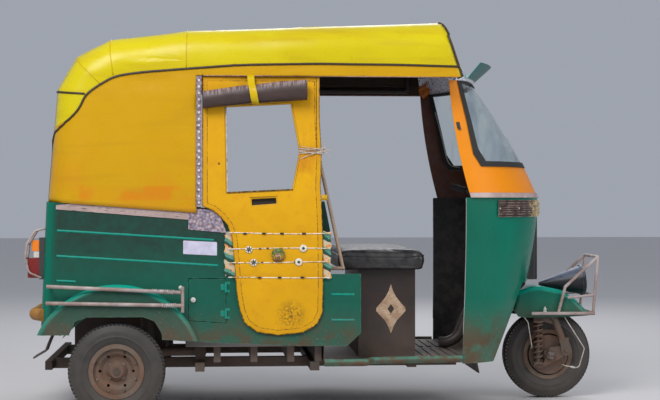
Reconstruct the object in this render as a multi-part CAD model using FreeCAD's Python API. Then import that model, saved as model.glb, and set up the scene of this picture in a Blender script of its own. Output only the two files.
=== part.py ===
import FreeCAD, Part
import math
import os

from FreeCAD import Vector as V

# Three-wheeled auto rickshaw with a rear engine, a sheet-metal tub and a folding-type
# vinyl canopy. Millimetres; X forward, Y left, Z up; origin on the ground, mid length.

os.makedirs("parts", exist_ok=True)

# Driving dimensions
WHEELBASE = 2000.0
REAR_AXLE_X = -915.0
BODY_HALF = 590.0            # outer face of the rear side panels
REAR_TRACK = 2 * BODY_HALF - 30
PANEL_SPLIT = BODY_HALF - 150     # where the side panels meet the rear skin
BEYOND = BODY_HALF + 110     # outside everything that is cut to the body's sides
BENCH_HALF = PANEL_SPLIT + 10
SHEET = 2.0                  # pressed steel panels
SEAT_GAP = 0.3               # between pieces that rest on each other
SHUT_GAP = 3.0               # round a lid or flap
TUBE_R = 13.0                # canopy and partition tubes
GUARD_R = 8.0                # side guard and lamp guard tubes

# Wheels: 4.00-8 cross-ply tyres on split steel rims
TYRE_R = 208.0
TYRE_W = 107.0
TREAD_W = 82.0
SHOULDER_DROP = 7.0
CASING_T = 9.0
BEAD_R = 103.0
FLANGE_H = 16.0
RIM_HALF = 46.0
RIM_T = 3.5
DISC_T = 5.0
HUB_R = 52.0
HUB_BORE_R = 15.0
RUN_FIT = 0.05               # radial running clearance of a bearing
AXLE_R = HUB_BORE_R - RUN_FIT
HUB_HALF = 30.0
STUD_CIRCLE_R = 38.0
STUD_R = 5.0
STUD_LEN = 9.0

# Levels
FLOOR_Z = 236.0              # underside of the driver's floor
CABIN_Z = 310.0              # top of the passenger floor
SILL_Z = 218.0
BELT_REAR_Z = 935.0
BELT_FRONT_Z = 880.0
STEP_Z = 621.0               # top of the low side panel
VALANCE_Z = 1480.0
RAIL_H = 44.0
DECK_Z = 612.0               # underside of the deck under the bench
BENCH_Z = 745.0
SEAT_BASE_Z = 628.0

# Stations along the body
REAR_TOP_X = -1221.0
REAR_FOOT_X = -1246.0
REAR_FOOT_Z = 340.0
CORNER_R = 70.0
QUARTER_X = -560.0           # front edge of the rear quarters
BELT_END_X = -503.0
SIDE_FRONT_X = 138.0
PARTITION_X = -52.0
COWL_REAR_X = 615.0
NOSE_X = 1032.0
ROOF_FRONT_X = 498.0
FRONT_LEAN = 0.32            # the roof front comes forward by this much per mm down

# Canopy
CANOPY_T = 3.0
CANOPY_R = 120.0
CROWN_R = 5700.0             # camber of the roof across its width
ROOF_LINE = (                # side profile at the centre line: x, z
    (ROOF_FRONT_X, 1748.0),
    (-616.0, 1702.0),
    (-950.0, 1660.0),
    (-1110.0, 1560.0),
    (-1178.0, 1420.0),
    (-1219.0, BELT_REAR_Z),
)
CANOPY_HALF_LOW = BODY_HALF + 11
CANOPY_HALF_TOP = BODY_HALF

# Front cowl, plan sections from the floor to the roof header:
# height, rear edge x, half width, nose x, nose radius
COWL = (
    (212.0, 606.0, 452.0, 900.0, 560.0),
    (535.0, 612.0, 480.0, 975.0, 560.0),
    (743.0, 615.0, 496.0, 1014.0, 560.0),
    (953.0, 615.0, 502.0, 1032.0, 560.0),
)
CROWN = (
    (953.0, 636.0, 502.0, 1032.0, 560.0),
    (1110.0, 596.0, 490.0, 958.0, 560.0),
    (1476.0, 543.0, 470.0, 712.0, 1000.0),
    (1572.0, 530.0, 462.0, 645.0, 1400.0),
)
COWL_TOE = 8.0               # degrees the cowl sides turn in at their rear edge
WALL = 3.0                   # cowl skin with its return flanges
GLASS_T = 5.0
GASKET_W = 24.0
HEADER_Z = 1476.0
GLASS_FOOT_Z = 1104.0

# Steering
RAKE = 22.0
TRAIL_FOOT_X = 1146.0        # where the steering axis meets the ground
STEER_LOW_Z = 566.0
STEER_HIGH_Z = 905.0
BAR_Z = 985.0
HEAD_TUBE_R = 27.0
COLUMN_R = 17.0
STEER_CLEAR = 0.4
ARCH_R = 352.0
ARCH_BACK = 30.0             # centre of the wheel arch behind the front axle

FRONT_AXLE_X = REAR_AXLE_X + WHEELBASE
AXLE_Z = TYRE_R


# Sizes of the separate pieces, in the order in which they are built
TRIM_H = 22.0
TRIM_T = 6.0
LAMP_BANDS = (               # bottom, top and depth of each rib of the garnish lamps
    (866.0, 878.0, 5.0),
    (878.0, 890.0, 11.0),
    (890.0, 898.0, 6.0),
    (898.0, 910.0, 11.0),
    (910.0, 918.0, 6.0),
    (918.0, 930.0, 11.0),
    (930.0, 942.0, 5.0),
)
SHROUD_HALF = 72.0
SHROUD_FOOT = 566.0
SHROUD_TOP = 862.0
SHROUD_R = 24.0
NECK_R = 26.0
LEG_Y = -82.0
LEG_R = 17.0
EAR_T = 8.0
LINK_T = 16.0
PIVOT = (1162.0, 230.0)
EYE_R = 24.0
PIN_R = 8.0
DRUM_R = 93.0
SPRING_X = 1029.0
SPRING_FOOT_Z = 172.0
SPRING_HEAD_Z = 366.0
SPRING_R = 20.0
WIRE_R = 4.5
SPRING_TURNS = 7
FENDER_HALF = 108.0
FENDER_SIDE = (              # mudguard seen from the side: x, z
    (905.0, 432.0),
    (930.0, 392.0),
    (965.0, 388.0),
    (1136.0, 388.0),
    (1268.0, 396.0),
    (1262.0, 418.0),
    (1209.0, 470.0),
    (1136.0, 517.0),
    (1040.0, 536.0),
    (1000.0, 534.0),
    (920.0, 508.0),
)
FENDER_EDGE_R = 26.0
LAMP_R = 71.0
LAMP_FACE = (1257.0, 558.0)
CABLE_R = 2.5
CABLE_BEND = 20.0
GUARD_HALF = 125.0
GUARD_NOSE_X = 1307.0
SILL_R = 16.0
COWL_FLOOR_HALF = COWL[0][2] - WALL - 4
STEP_HALF = BODY_HALF - 32
FLOOR_PLAN = ((-20.0, STEP_HALF), (150.0, STEP_HALF), (190.0, STEP_HALF - 68), (600.0, COWL_FLOOR_HALF))
SIDE_VIEW = (                # right side panel, looking along +Y: x, z
    (-1300.0, 372.0),
    (-1185.0, 372.0),
    (-617.0, 333.0),
    (-142.0, 310.0),
    (77.0, 308.0),
    (SIDE_FRONT_X, 364.0),
    (SIDE_FRONT_X, STEP_Z),
    (-405.0, STEP_Z),
    (-425.0, 700.0),
    (-452.0, 810.0),
    (-475.0, 855.0),
    (BELT_END_X, BELT_FRONT_Z - 2),
    (QUARTER_X, BELT_FRONT_Z + 3),
    (-1300.0, BELT_REAR_Z + 6),
)
WHEEL_HOLE_R = 262.0
HATCH_Z0 = 512.0
HATCH_Z1 = 800.0
HATCH_HALF = PANEL_SPLIT - 80
HATCH_HINGE_Y = HATCH_HALF * 2 / 3
LOUVRE_MID = 80.0            # half width of the plain strip between the two stacks of louvres
LOUVRE_EDGE = 60.0           # from the louvres to the hatch's side edge
KNUCKLE_R = 5.0
HINGE_PIN_R = 2.5
HINGE_Z = HATCH_Z1 + SHUT_GAP / 2
HINGE_X = REAR_TOP_X + (REAR_FOOT_X - REAR_TOP_X) / (REAR_FOOT_Z - BELT_REAR_Z) * (HINGE_Z - BELT_REAR_Z) - 7
FLAP_HINGE_X = -449.0 + SHUT_GAP / 2
FLAP_HINGE_Y = -BODY_HALF - 5.5
FLAP_HINGE_Z = (452.0, 566.0)
FENDER_R = 372.0
FLARE = 45.0
LIP_R = 26.0
FENDER_FOOT = (              # what lies below the lip: x, z
    (-1400.0, -300.0),
    (-500.0, -300.0),
    (-500.0, 333.0),
    (-720.0, 345.0),
    (-1100.0, 366.0),
    (-1400.0, 366.0),
)
FENDER_ARCH = (              # opening round the wheel: x, z
    (-1112.0, 300.0),
    (-1112.0, 372.0),
    (-1088.0, 424.0),
    (-1040.0, 442.0),
    (-800.0, 442.0),
    (-752.0, 424.0),
    (-722.0, 372.0),
    (-716.0, 300.0),
)
LAMP_IN_Y = -BODY_HALF + 135
LAMP_OUT_Y = -BODY_HALF + 50
LAMP_LENSES = (              # bottom, top and how far the lens reaches back
    (722.0, 768.0, -1283.0),
    (694.0, 720.0, -1276.0),
    (606.0, 692.0, -1301.0),
)
ARM_PIVOT_X = -560.0
ARM_PIVOT_Z = 274.0
ARM_Y = BODY_HALF - 170
ARM_R = 21.0
ARM_EYE_R = 28.0
ENGINE_HALF = 200.0
SEAT_HALF = BODY_HALF - 170
SEAT_FRONT_X = 458.0
SEAT_Z = 722.0
CANOPY_REACH = 700.0         # the roof is built past its front and cut back to the lean
REAR_WINDOW_HALF = 240.0
REAR_WINDOW_Z = (1185.0, 1365.0)
SEAM_Y = CANOPY_HALF_TOP - 135    # long seams beside the roof's rounded shoulders
SEAM_X = -600.0              # cross seam of the roof
SEAM_Z = 1420.0              # seam between the back and the roof
RAIL_Z = 1500.0
CURTAIN_TOP = (14.5 - BODY_HALF, RAIL_Z - TUBE_R - SEAT_GAP)
CURTAIN_BEND = (-BODY_HALF - 8, 905.0)
CURTAIN_T = 4.0
CURTAIN_EDGE = (             # seen from the right: x, z
    (-550.0, 1500.0),
    (-42.0, 1500.0),
    (-42.0, 1474.0),
    (-29.0, 804.0),
    (-29.0, 509.0),
    (-48.0, 432.0),
    (-107.0, 376.0),
    (-224.0, 359.0),
    (-323.0, 382.0),
    (-374.0, 434.0),
    (-400.0, 511.0),
    (-417.0, 770.0),
    (-439.0, 821.0),
    (-500.0, 899.0),
    (-550.0, 905.0),
)
CURTAIN_WINDOW = ((-446.0, 1342.0), (-168.0, 1357.0), (-133.0, 1158.0), (-162.0, 990.0), (-440.0, 976.0))
BLIND_R = 30.0


# Builders shared by the pieces
def box(x0, x1, y0, y1, z0, z1):
    return Part.makeBox(x1 - x0, y1 - y0, z1 - z0, V(x0, y0, z0))


def rod(a, b, r):
    a = V(*a)
    b = V(*b)
    return Part.makeCylinder(r, (b - a).Length, a, b - a)


def mirrored(shape):
    return shape.mirror(V(0, 0, 0), V(0, 1, 0))


def joined(shapes):
    whole = shapes[0]
    if len(shapes) > 1:
        whole = whole.fuse(shapes[1:])
    return whole.removeSplitter()


def both_sides(shape):
    return joined([shape, mirrored(shape)])


def prism_xz(points, y0, y1):
    wire = Part.makePolygon([V(x, y0, z) for x, z in points] + [V(points[0][0], y0, points[0][1])])
    return Part.Face(wire).extrude(V(0, y1 - y0, 0))


def prism_yz(points, x0, x1):
    wire = Part.makePolygon([V(x0, y, z) for y, z in points] + [V(x0, points[0][0], points[0][1])])
    return Part.Face(wire).extrude(V(x1 - x0, 0, 0))


def prism_xy(points, z0, z1):
    wire = Part.makePolygon([V(x, y, z0) for x, y in points] + [V(points[0][0], points[0][1], z0)])
    return Part.Face(wire).extrude(V(0, 0, z1 - z0))


def rounded(shape, r, pick):
    return shape.makeFillet(r, [e for e in shape.Edges if pick(e)])


def route(points, bend):
    """A wire of straight runs joined by tangent arcs of radius bend."""
    pts = [V(*p) for p in points]
    edges = []
    start = pts[0]
    for i in range(1, len(pts) - 1):
        back = (pts[i - 1] - pts[i]).normalize()
        ahead = (pts[i + 1] - pts[i]).normalize()
        half = back.getAngle(ahead) / 2
        cut = bend / math.tan(half)
        enter = pts[i] + back * cut
        leave = pts[i] + ahead * cut
        middle = (back + ahead).normalize() * (bend / math.sin(half) - bend) + pts[i]
        edges.append(Part.makeLine(start, enter))
        edges.append(Part.Arc(enter, middle, leave).toShape())
        start = leave
    edges.append(Part.makeLine(start, pts[-1]))
    return Part.Wire(edges)


def bent_tube(points, r, bend):
    path = route(points, bend)
    start = V(*points[0])
    heading = V(*points[1]) - start
    ring = Part.Wire(Part.makeCircle(r, start, heading))
    return path.makePipeShell([ring], True, False)


def turned(profile, centre):
    """A profile of (y, r) corners turned about a wheel axis along Y."""
    x, y, z = centre
    corners = [V(x, y + a, z + r) for a, r in profile]
    face = Part.Face(Part.makePolygon(corners + [corners[0]]))
    return face.revolve(V(x, y, z), V(0, 1, 0), 360)


# Wheels
def tyre(y):
    c = V(REAR_AXLE_X, y, AXLE_Z)
    shoulder = (TREAD_W / 2, TYRE_R - SHOULDER_DROP)
    belly = (TYRE_W / 2, (TYRE_R + BEAD_R) / 2 + 8)
    heel_y = RIM_HALF - RIM_T - SEAT_GAP
    heel = (heel_y, BEAD_R)
    flange = (heel_y, BEAD_R + FLANGE_H)
    toe = (heel_y - CASING_T, BEAD_R)
    inner = (TYRE_W / 2 - CASING_T, belly[1])
    roof = (TREAD_W / 2 - CASING_T - 4, TYRE_R - SHOULDER_DROP - CASING_T)

    def at(p, side=1):
        return V(c.x, c.y + side * p[0], c.z + p[1])

    edges = [Part.Arc(at(shoulder), at((0, TYRE_R)), at(shoulder, -1)).toShape()]
    for s in (-1, 1):
        edges.append(Part.Arc(at(shoulder, s), at(belly, s), at(flange, s)).toShape())
        edges.append(Part.makeLine(at(flange, s), at(heel, s)))
        edges.append(Part.makeLine(at(heel, s), at(toe, s)))
        edges.append(Part.Arc(at(toe, s), at(inner, s), at(roof, s)).toShape())
    edges.append(Part.makeLine(at(roof), at(roof, -1)))
    outline = Part.Wire(Part.__sortEdges__(edges))
    return Part.Face(outline).revolve(c, V(0, 1, 0), 360)


def rim(y, outward):
    """Split rim with its disc and the hub; outward is the side the dish opens to."""
    o = outward
    lip = RIM_HALF
    well = BEAD_R - SEAT_GAP
    edge = BEAD_R + FLANGE_H - 1
    profile = [
        (-lip, edge), (-lip + RIM_T, edge), (-lip + RIM_T, well), (lip - RIM_T, well),
        (lip - RIM_T, edge), (lip, edge), (lip, well - RIM_T), (-lip, well - RIM_T),
    ]
    barrel = turned(profile, (REAR_AXLE_X, y, AXLE_Z))
    disc = [
        (o * 2, HUB_BORE_R), (o * 2, 62), (o * 22, 80), (o * 22, well - RIM_T + 0.5),
        (o * (22 + DISC_T), well - RIM_T + 0.5), (o * (22 + DISC_T), 78), (o * (2 + DISC_T), 60),
        (o * (2 + DISC_T), HUB_BORE_R),
    ]
    web = turned(disc, (REAR_AXLE_X, y, AXLE_Z))
    hub = [
        (-o * HUB_HALF, HUB_BORE_R), (-o * HUB_HALF, HUB_R), (o * 2, HUB_R), (o * 8, HUB_R - 6),
        (o * HUB_HALF, HUB_R - 24), (o * HUB_HALF, HUB_BORE_R),
    ]
    boss = turned(hub, (REAR_AXLE_X, y, AXLE_Z))
    studs = []
    for k in range(4):
        a = math.radians(45 + 90 * k)
        x = REAR_AXLE_X + STUD_CIRCLE_R * math.cos(a)
        z = AXLE_Z + STUD_CIRCLE_R * math.sin(a)
        studs.append(rod((x, y, z), (x, y + o * (DISC_T + 2 + STUD_LEN), z), STUD_R))
    vents = []
    for k in range(6):
        a = math.radians(60 * k)
        x = REAR_AXLE_X + 71 * math.cos(a)
        z = AXLE_Z + 71 * math.sin(a)
        vents.append(rod((x, y - 40, z), (x, y + 40, z), 6))
    return joined([barrel, web, boss] + studs).cut(vents)


def rear_hub_y(side):
    return side * REAR_TRACK / 2


def to_front(shape):
    moved = shape.copy()
    moved.translate(V(FRONT_AXLE_X - REAR_AXLE_X, 0, 0))
    return moved


# Front cowl
def nose_face(z, x_rear, half, x_nose, r_nose, inset=0.0, back=0.0):
    """Plan outline of the cowl: two side arcs tangent to a nose arc, closed by a straight rear."""
    toe = math.radians(COWL_TOE)
    w = half - inset / math.cos(toe)
    xn = x_nose - inset
    rn = r_nose - inset
    xr = x_rear - back
    cx = xn - rn
    dx = x_rear - cx
    dy = -w
    nx = -math.sin(toe)
    ny = math.cos(toe)
    rs = (rn * rn - dx * dx - dy * dy) / (2 * (dx * nx + dy * ny + rn))
    sx = x_rear + rs * nx
    sy = -w + rs * ny
    away = V(sx - cx, sy, 0).normalize()
    joint = V(cx, 0, z) + away * rn
    a0 = math.atan2(-w - sy, x_rear - sx)
    a1 = math.atan2(joint.y - sy, joint.x - sx)
    mid = (a0 + a1) / 2
    side_mid = V(sx + rs * math.cos(mid), sy + rs * math.sin(mid), z)
    rear = V(x_rear, -w, z)
    tail = V(xr, -w - (x_rear - xr) * math.tan(toe), z)

    def flip(p):
        return V(p.x, -p.y, p.z)

    edges = []
    if back:
        edges.append(Part.makeLine(tail, rear))
    edges.append(Part.Arc(rear, side_mid, joint).toShape())
    edges.append(Part.Arc(joint, V(xn, 0, z), flip(joint)).toShape())
    edges.append(Part.Arc(flip(joint), flip(side_mid), flip(rear)).toShape())
    if back:
        edges.append(Part.makeLine(flip(rear), flip(tail)))
    edges.append(Part.makeLine(flip(tail), tail))
    return Part.Wire(edges)


def nose_body(sections, inset=0.0, back=0.0):
    wires = [nose_face(*s, inset=inset, back=back) for s in sections]
    return Part.makeLoft(wires, True, False)


def nose_skin(sections, outset, inset):
    outer = nose_body(sections, -outset)
    inner = nose_body(sections, inset, 60.0)
    return outer.cut(inner)


def cowl_lower():
    """Apron with its lower front edge cut back round the wheel."""
    skin = nose_skin(COWL, 0.0, WALL)
    foot = V(762, -700, COWL[0][0] - 1)
    top = V(918, -700, SHROUD_FOOT - 4)
    edge = Part.Arc(foot, V(846, -700, 398), top).toShape()
    corner = V(1200, -700, SHROUD_FOOT - 4)
    low = V(1200, -700, foot.z)
    wire = Part.Wire([edge, Part.makeLine(top, corner), Part.makeLine(corner, low), Part.makeLine(low, foot)])
    return skin.cut(Part.Face(wire).extrude(V(0, 1400, 0)))


def glass_prism(grow=0.0):
    """Side view of the windscreen opening, run through the whole width."""
    g = grow
    points = [
        (592.0 - g, HEADER_Z + g), (636.0 - g, 1290.0), (664.0 - g, GLASS_FOOT_Z + 55 - g),
        (700.0 - g, GLASS_FOOT_Z - g), (1200.0, GLASS_FOOT_Z - g), (1200.0, HEADER_Z + g),
    ]
    return prism_xz(points, -700, 700)


def cowl_upper():
    skin = nose_skin(CROWN[:3], 0.0, WALL)
    return skin.cut(glass_prism(GASKET_W / 2))


def windscreen():
    skin = nose_skin(CROWN[:3], -2.0, 2.0 + GLASS_T)
    top = box(400, 1300, -700, 700, HEADER_Z - GASKET_W / 2, HEADER_Z + 200)
    return skin.common(glass_prism(-GASKET_W / 2 + 4)).cut(top)


def gasket():
    skin = nose_skin(CROWN[:3], 5.0, 12.0)
    ring = skin.common(glass_prism(GASKET_W / 2 - SEAT_GAP)).cut(glass_prism(-GASKET_W / 2))
    ring = ring.cut(box(400, 1300, -700, 700, HEADER_Z, HEADER_Z + 200))
    upper = skin.common(glass_prism(0)).common(
        box(400, 1300, -700, 700, HEADER_Z - GASKET_W / 2, HEADER_Z - SEAT_GAP))
    return joined([ring, upper]).cut(windscreen())


def header():
    skin = nose_skin(CROWN[2:], 0.0, WALL)
    z = CROWN[3][0]
    lid = nose_body(CROWN[2:]).common(box(400, 900, -600, 600, z - SHEET, z))
    return joined([skin, lid])


def visor():
    low = (HEADER_Z + 4, 545.0, 471.0, 713.0, 1000.0)
    high = (1562.0, 640.0, 440.0, 806.0, 800.0)
    strip = nose_skin((low, high), 0.0, 2.5).cut(nose_body(CROWN[2:], -SEAT_GAP, 60.0))
    return strip.common(box(600, 900, -400, 400, 1400, 1600))


def crown_at(z):
    """Plan section of the cowl top at a height between its first two sections."""
    low, high = CROWN[:2]
    k = (z - low[0]) / (high[0] - low[0])
    return tuple(a + (b - a) * k for a, b in zip(low, high))


def belt_strip():
    """Bright strip round the cowl, on the seam between its lower and upper panels."""
    z = CROWN[0][0]
    band = nose_body([crown_at(z), crown_at(z + TRIM_H)], -TRIM_T)
    return band.cut(nose_body(CROWN[:3], -SEAT_GAP, 60.0))


def corner_lamps():
    """Ribbed garnish lamps that wrap the cowl corners."""
    bands = []
    for z0, z1, grow in LAMP_BANDS:
        bands.append(nose_body([(z, COWL_REAR_X, 502.0, NOSE_X, 560.0) for z in (z0, z1)], -grow))
    lamp = joined(bands).cut(nose_body(COWL, -SEAT_GAP, 60.0))
    return lamp.common(box(768, 1100, -600, -95, 800, 1000))


def nose_shroud():
    """Black pressed cover over the steering head, between the cowl halves."""
    def hood(inset, low):
        block = box(930, NOSE_X - inset, -SHROUD_HALF + inset, SHROUD_HALF - inset, low, SHROUD_TOP - inset)
        return rounded(block, SHROUD_R - inset, lambda e: (
            e.CenterOfMass.x > 1000 and abs(e.CenterOfMass.y) > 50 and e.Length > 200))

    shell = hood(0, SHROUD_FOOT).cut(hood(SHEET, SHROUD_FOOT - 60))
    return shell.cut(nose_body(COWL, -SEAT_GAP, 60.0))


# Steering, all of it carried on a raked column
def on_axis(z):
    return TRAIL_FOOT_X - z * math.tan(math.radians(RAKE))


def head_tube():
    low = (on_axis(STEER_LOW_Z), 0, STEER_LOW_Z)
    high = (on_axis(STEER_HIGH_Z), 0, STEER_HIGH_Z)
    tube = rod(low, high, HEAD_TUBE_R)
    bore = rod(low, high, COLUMN_R + STEER_CLEAR)
    z = FLOOR_Z + SHEET + SEAT_GAP + NECK_R
    foot_x = FRONT_AXLE_X - ARCH_BACK - ARCH_R
    path = [(foot_x - 133, 0, z), (foot_x - 53, 0, z), (foot_x + 32, 0, 470), (on_axis(700) - 5, 0, 700)]
    neck = bent_tube(path, NECK_R, 90)
    return joined([neck, tube]).cut(bore)


def handlebar():
    top = (on_axis(BAR_Z), 0, BAR_Z)
    low = (on_axis(STEER_HIGH_Z + 1), 0, STEER_HIGH_Z + 1)
    stem = rod((on_axis(STEER_LOW_Z - 10), 0, STEER_LOW_Z - 10), top, COLUMN_R)
    clamp = rod(low, top, HEAD_TUBE_R)
    x = on_axis(BAR_Z)
    half_bar = [(x, 190, BAR_Z), (x - 60, 300, BAR_Z + 22)]
    bar = bent_tube([(px, -y, z) for px, y, z in half_bar[::-1]] + half_bar, 11, 60)
    return joined([stem, clamp, bar, hand_levers()])


def hand_levers():
    """Clutch and brake levers, each on a perch clamped to the bar."""
    x = on_axis(BAR_Z)
    y = -172
    z = BAR_Z
    clamp = rod((x, y, z), (x, y + 24, z), 17)
    arm = rod((x, y + 12, z), (x + 34, y + 6, z + 4), 8)
    blade = bent_tube([(x + 30, y + 8, z + 3), (x + 32, y - 40, z + 4), (x - 28, y - 126, z + 14)], 5, 40)
    return both_sides(joined([clamp, arm, blade]))


def grips():
    x = on_axis(BAR_Z)
    a = V(x - 60, -300, BAR_Z + 22)
    d = (V(x, -190, BAR_Z) - a).normalize()
    start = a - d * 8
    end = a + d * 108
    sleeve = Part.makeCylinder(16, 116, start, d)
    bore = Part.makeCylinder(11 + 0.1, 108, a, d)
    return both_sides(sleeve.cut(bore))


def fork():
    """Single leg that leaves the column, passes over the tyre and ends in a clevis on its right."""
    z = STEER_LOW_Z - 10 - SEAT_GAP
    path = [(on_axis(z), 0, z), (on_axis(z - 80), 0, z - 80), (1012, LEG_Y, 462), (1108, LEG_Y, 380),
            (PIVOT[0] - 8, LEG_Y, PIVOT[1] + 30)]
    leg = bent_tube(path, LEG_R, 34)
    gap = LINK_T / 2 + SEAT_GAP
    ears = []
    for y0, y1 in ((LEG_Y - gap - EAR_T, LEG_Y - gap), (LEG_Y + gap, LEG_Y + gap + EAR_T)):
        ears.append(rod((PIVOT[0], y0, PIVOT[1]), (PIVOT[0], y1, PIVOT[1]), EYE_R))
        cheek = [(PIVOT[0] - 24, 230), (PIVOT[0] + 24, 230), (PIVOT[0] + 8, 286), (PIVOT[0] - 30, 286)]
        ears.append(prism_xz(cheek, y0, y1))
    reach = gap + EAR_T
    yoke = box(PIVOT[0] - 32, PIVOT[0] + 12, LEG_Y - reach, LEG_Y + reach, PIVOT[1] + EYE_R + 10, 290)
    ends = (LEG_Y - gap - EAR_T - 8, LEG_Y + gap + EAR_T + 3)
    pin = rod((PIVOT[0], ends[0], PIVOT[1]), (PIVOT[0], ends[1], PIVOT[1]), PIN_R)
    top = SPRING_HEAD_Z + SEAT_GAP
    web = [(SPRING_X - 24, top), (SPRING_X + 24, top), (1110, 352), (1096, 396), (1012, 404)]
    bracket = prism_xz(web, LEG_Y - 6, LEG_Y + 6)
    shelf = box(SPRING_X - 24, SPRING_X + 24, LEG_Y - 20, LEG_Y + 20, top, top + 5)
    return joined([leg, yoke, pin, bracket, shelf] + ears)


def front_link():
    """Trailing link from the fork eye back past the axle to the spring seat, with the brake plate."""
    y0 = LEG_Y - LINK_T / 2
    y1 = LEG_Y + LINK_T / 2
    ring = rod((PIVOT[0], y0, PIVOT[1]), (PIVOT[0], y1, PIVOT[1]), EYE_R)
    side = [(PIVOT[0] + 2, 207), (PIVOT[0] - 6, 253), (1085, 244), (1057, SPRING_FOOT_Z)]
    side += [(1008, SPRING_FOOT_Z), (1008, 156), (1040, 146), (1088, 168)]
    arm = prism_xz(side, y0, y1)
    seat = box(SPRING_X - 22, SPRING_X + 22, LEG_Y - 22, LEG_Y + 22, SPRING_FOOT_Z - 6, SPRING_FOOT_Z)
    axle = rod((FRONT_AXLE_X, y0 - 12, AXLE_Z), (FRONT_AXLE_X, HUB_HALF + 10, AXLE_Z), AXLE_R)
    nut = rod((FRONT_AXLE_X, y0 - 14, AXLE_Z), (FRONT_AXLE_X, y0, AXLE_Z), 21)
    face = LEG_Y + SPRING_R + WIRE_R + SEAT_GAP + 1
    boss = rod((FRONT_AXLE_X, y1, AXLE_Z), (FRONT_AXLE_X, face, AXLE_Z), 28)
    drum = rod((FRONT_AXLE_X, face, AXLE_Z), (FRONT_AXLE_X, -HUB_HALF - 6, AXLE_Z), DRUM_R)
    end_nut = rod((FRONT_AXLE_X, HUB_HALF + 6, AXLE_Z), (FRONT_AXLE_X, HUB_HALF + 16, AXLE_Z), 19)
    whole = joined([ring, arm, seat, axle, nut, boss, drum, end_nut])
    return whole.cut(rod((PIVOT[0], y0 - 1, PIVOT[1]), (PIVOT[0], y1 + 1, PIVOT[1]), PIN_R + RUN_FIT))


def damper():
    """Telescopic damper standing on the link, with the two spring cups."""
    z0 = SPRING_FOOT_Z + SEAT_GAP
    x = SPRING_X
    body = rod((x, LEG_Y, z0), (x, LEG_Y, z0 + 105), 12)
    shaft = rod((x, LEG_Y, z0), (x, LEG_Y, SPRING_HEAD_Z), 7)
    low = rod((x, LEG_Y, z0), (x, LEG_Y, z0 + 5), SPRING_R + WIRE_R)
    high = rod((x, LEG_Y, SPRING_HEAD_Z - 5), (x, LEG_Y, SPRING_HEAD_Z), SPRING_R + WIRE_R)
    return joined([body, shaft, low, high])


def coil_spring():
    z0 = SPRING_FOOT_Z + 5 + 2 * SEAT_GAP + WIRE_R
    z1 = SPRING_HEAD_Z - 5 - SEAT_GAP - WIRE_R
    helix = Part.makeHelix((z1 - z0) / SPRING_TURNS, z1 - z0, SPRING_R)
    ring = Part.Wire(Part.makeCircle(WIRE_R, V(SPRING_R, 0, 0), V(0, 1, 0)))
    coil = Part.Wire(helix).makePipeShell([ring], True, True)
    coil.translate(V(SPRING_X, LEG_Y, z0))
    return coil


def fender_body(grow, low=0.0):
    g = grow
    pts = [(x, z + g if z > 440 else z - low) for x, z in FENDER_SIDE]
    pts[0] = (pts[0][0] - g, pts[0][1])
    pts[4] = (pts[4][0] + g, pts[4][1])
    pts[5] = (pts[5][0] + g, pts[5][1] + g)
    half = FENDER_HALF + g
    body = prism_xz(pts, -half, half)
    return rounded(body, FENDER_EDGE_R + g, lambda e: (
        abs(abs(e.CenterOfMass.y) - half) < 0.5 and e.CenterOfMass.z > 440))


def front_fender():
    """Deep pressed mudguard that turns with the wheel."""
    shell = fender_body(0.0).cut(fender_body(-SHEET, 40.0))
    hole = rod((on_axis(640), 0, 640), (on_axis(400), 0, 400), COLUMN_R + SEAT_GAP)
    room = box(930, 1180, -FENDER_HALF + SHEET, FENDER_HALF - SHEET, 300, 430)
    back = box(880, 940, -60, 60, 380, 425)
    return shell.cut([hole, room, back])


def headlamp():
    """Tapered lamp shell that sits down on the mudguard."""
    face = V(LAMP_FACE[0], 0, LAMP_FACE[1])
    back = V(1052, 0, 540) - face
    shell = Part.makeCone(LAMP_R, 10, back.Length, face, back)
    ring = Part.makeCylinder(LAMP_R + 3, 12, face + back.normalize() * 6, back * -1)
    return joined([shell, ring]).cut(fender_body(SEAT_GAP))


def headlamp_lens():
    face = V(LAMP_FACE[0], 0, LAMP_FACE[1])
    back = (V(1052, 0, 540) - face).normalize()
    lens = Part.makeCylinder(LAMP_R - 4, 5, face - back * (6 + SEAT_GAP), back * -1)
    return lens


def brake_cables():
    """Brake and speedometer cables: clipped inside the mudguard, led round to the brake plate."""
    plate = LEG_Y + SPRING_R + WIRE_R + 1
    wall = -FENDER_HALF + SHEET + SEAT_GAP + CABLE_R
    y = LEG_Y - 17
    brake = [(944, wall, 446), (946, wall, 404), (978, y, 366), (998, y, 240), (998, plate, 240)]
    speed = [(1132, wall, 446), (1150, wall, 392), (1248, y - 4, 240), (1220, y - 4, 146), (1150, y - 4, 160),
             (1150, plate, 160)]
    return Part.makeCompound([bent_tube(path, CABLE_R, CABLE_BEND) for path in (brake, speed)])


def front_guard():
    """Tube guard round the lamp: flat lower bars, slanted sides and a front loop."""
    runs = (                 # x, z at both ends and the tube radius
        (989, 408, 1292, 407, 8),
        (1118, 412, 1150, 533, 7),
        (1150, 533, GUARD_NOSE_X, 674, 7),
        (GUARD_NOSE_X, 674, 1284, 410, 7),
        (1161, 482, 1289, 494, 6),
    )
    tubes = []
    for s in (-1, 1):
        y = s * GUARD_HALF
        for xa, za, xb, zb, r in runs:
            tubes.append(rod((xa, y, za), (xb, y, zb), r))
        tubes.append(Part.makeSphere(7, V(1150, y, 533)))
        tubes.append(Part.makeSphere(7, V(GUARD_NOSE_X, y, 674)))
        tubes.append(rod((1080, y, 408), (1080, s * (FENDER_HALF + SEAT_GAP), 408), 7))
    for x, z, r in ((1284, 410, 7), (GUARD_NOSE_X, 674, 7), (1289, 494, 6)):
        tubes.append(rod((x, -GUARD_HALF, z), (x, GUARD_HALF, z), r))
    return joined(tubes)


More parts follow.
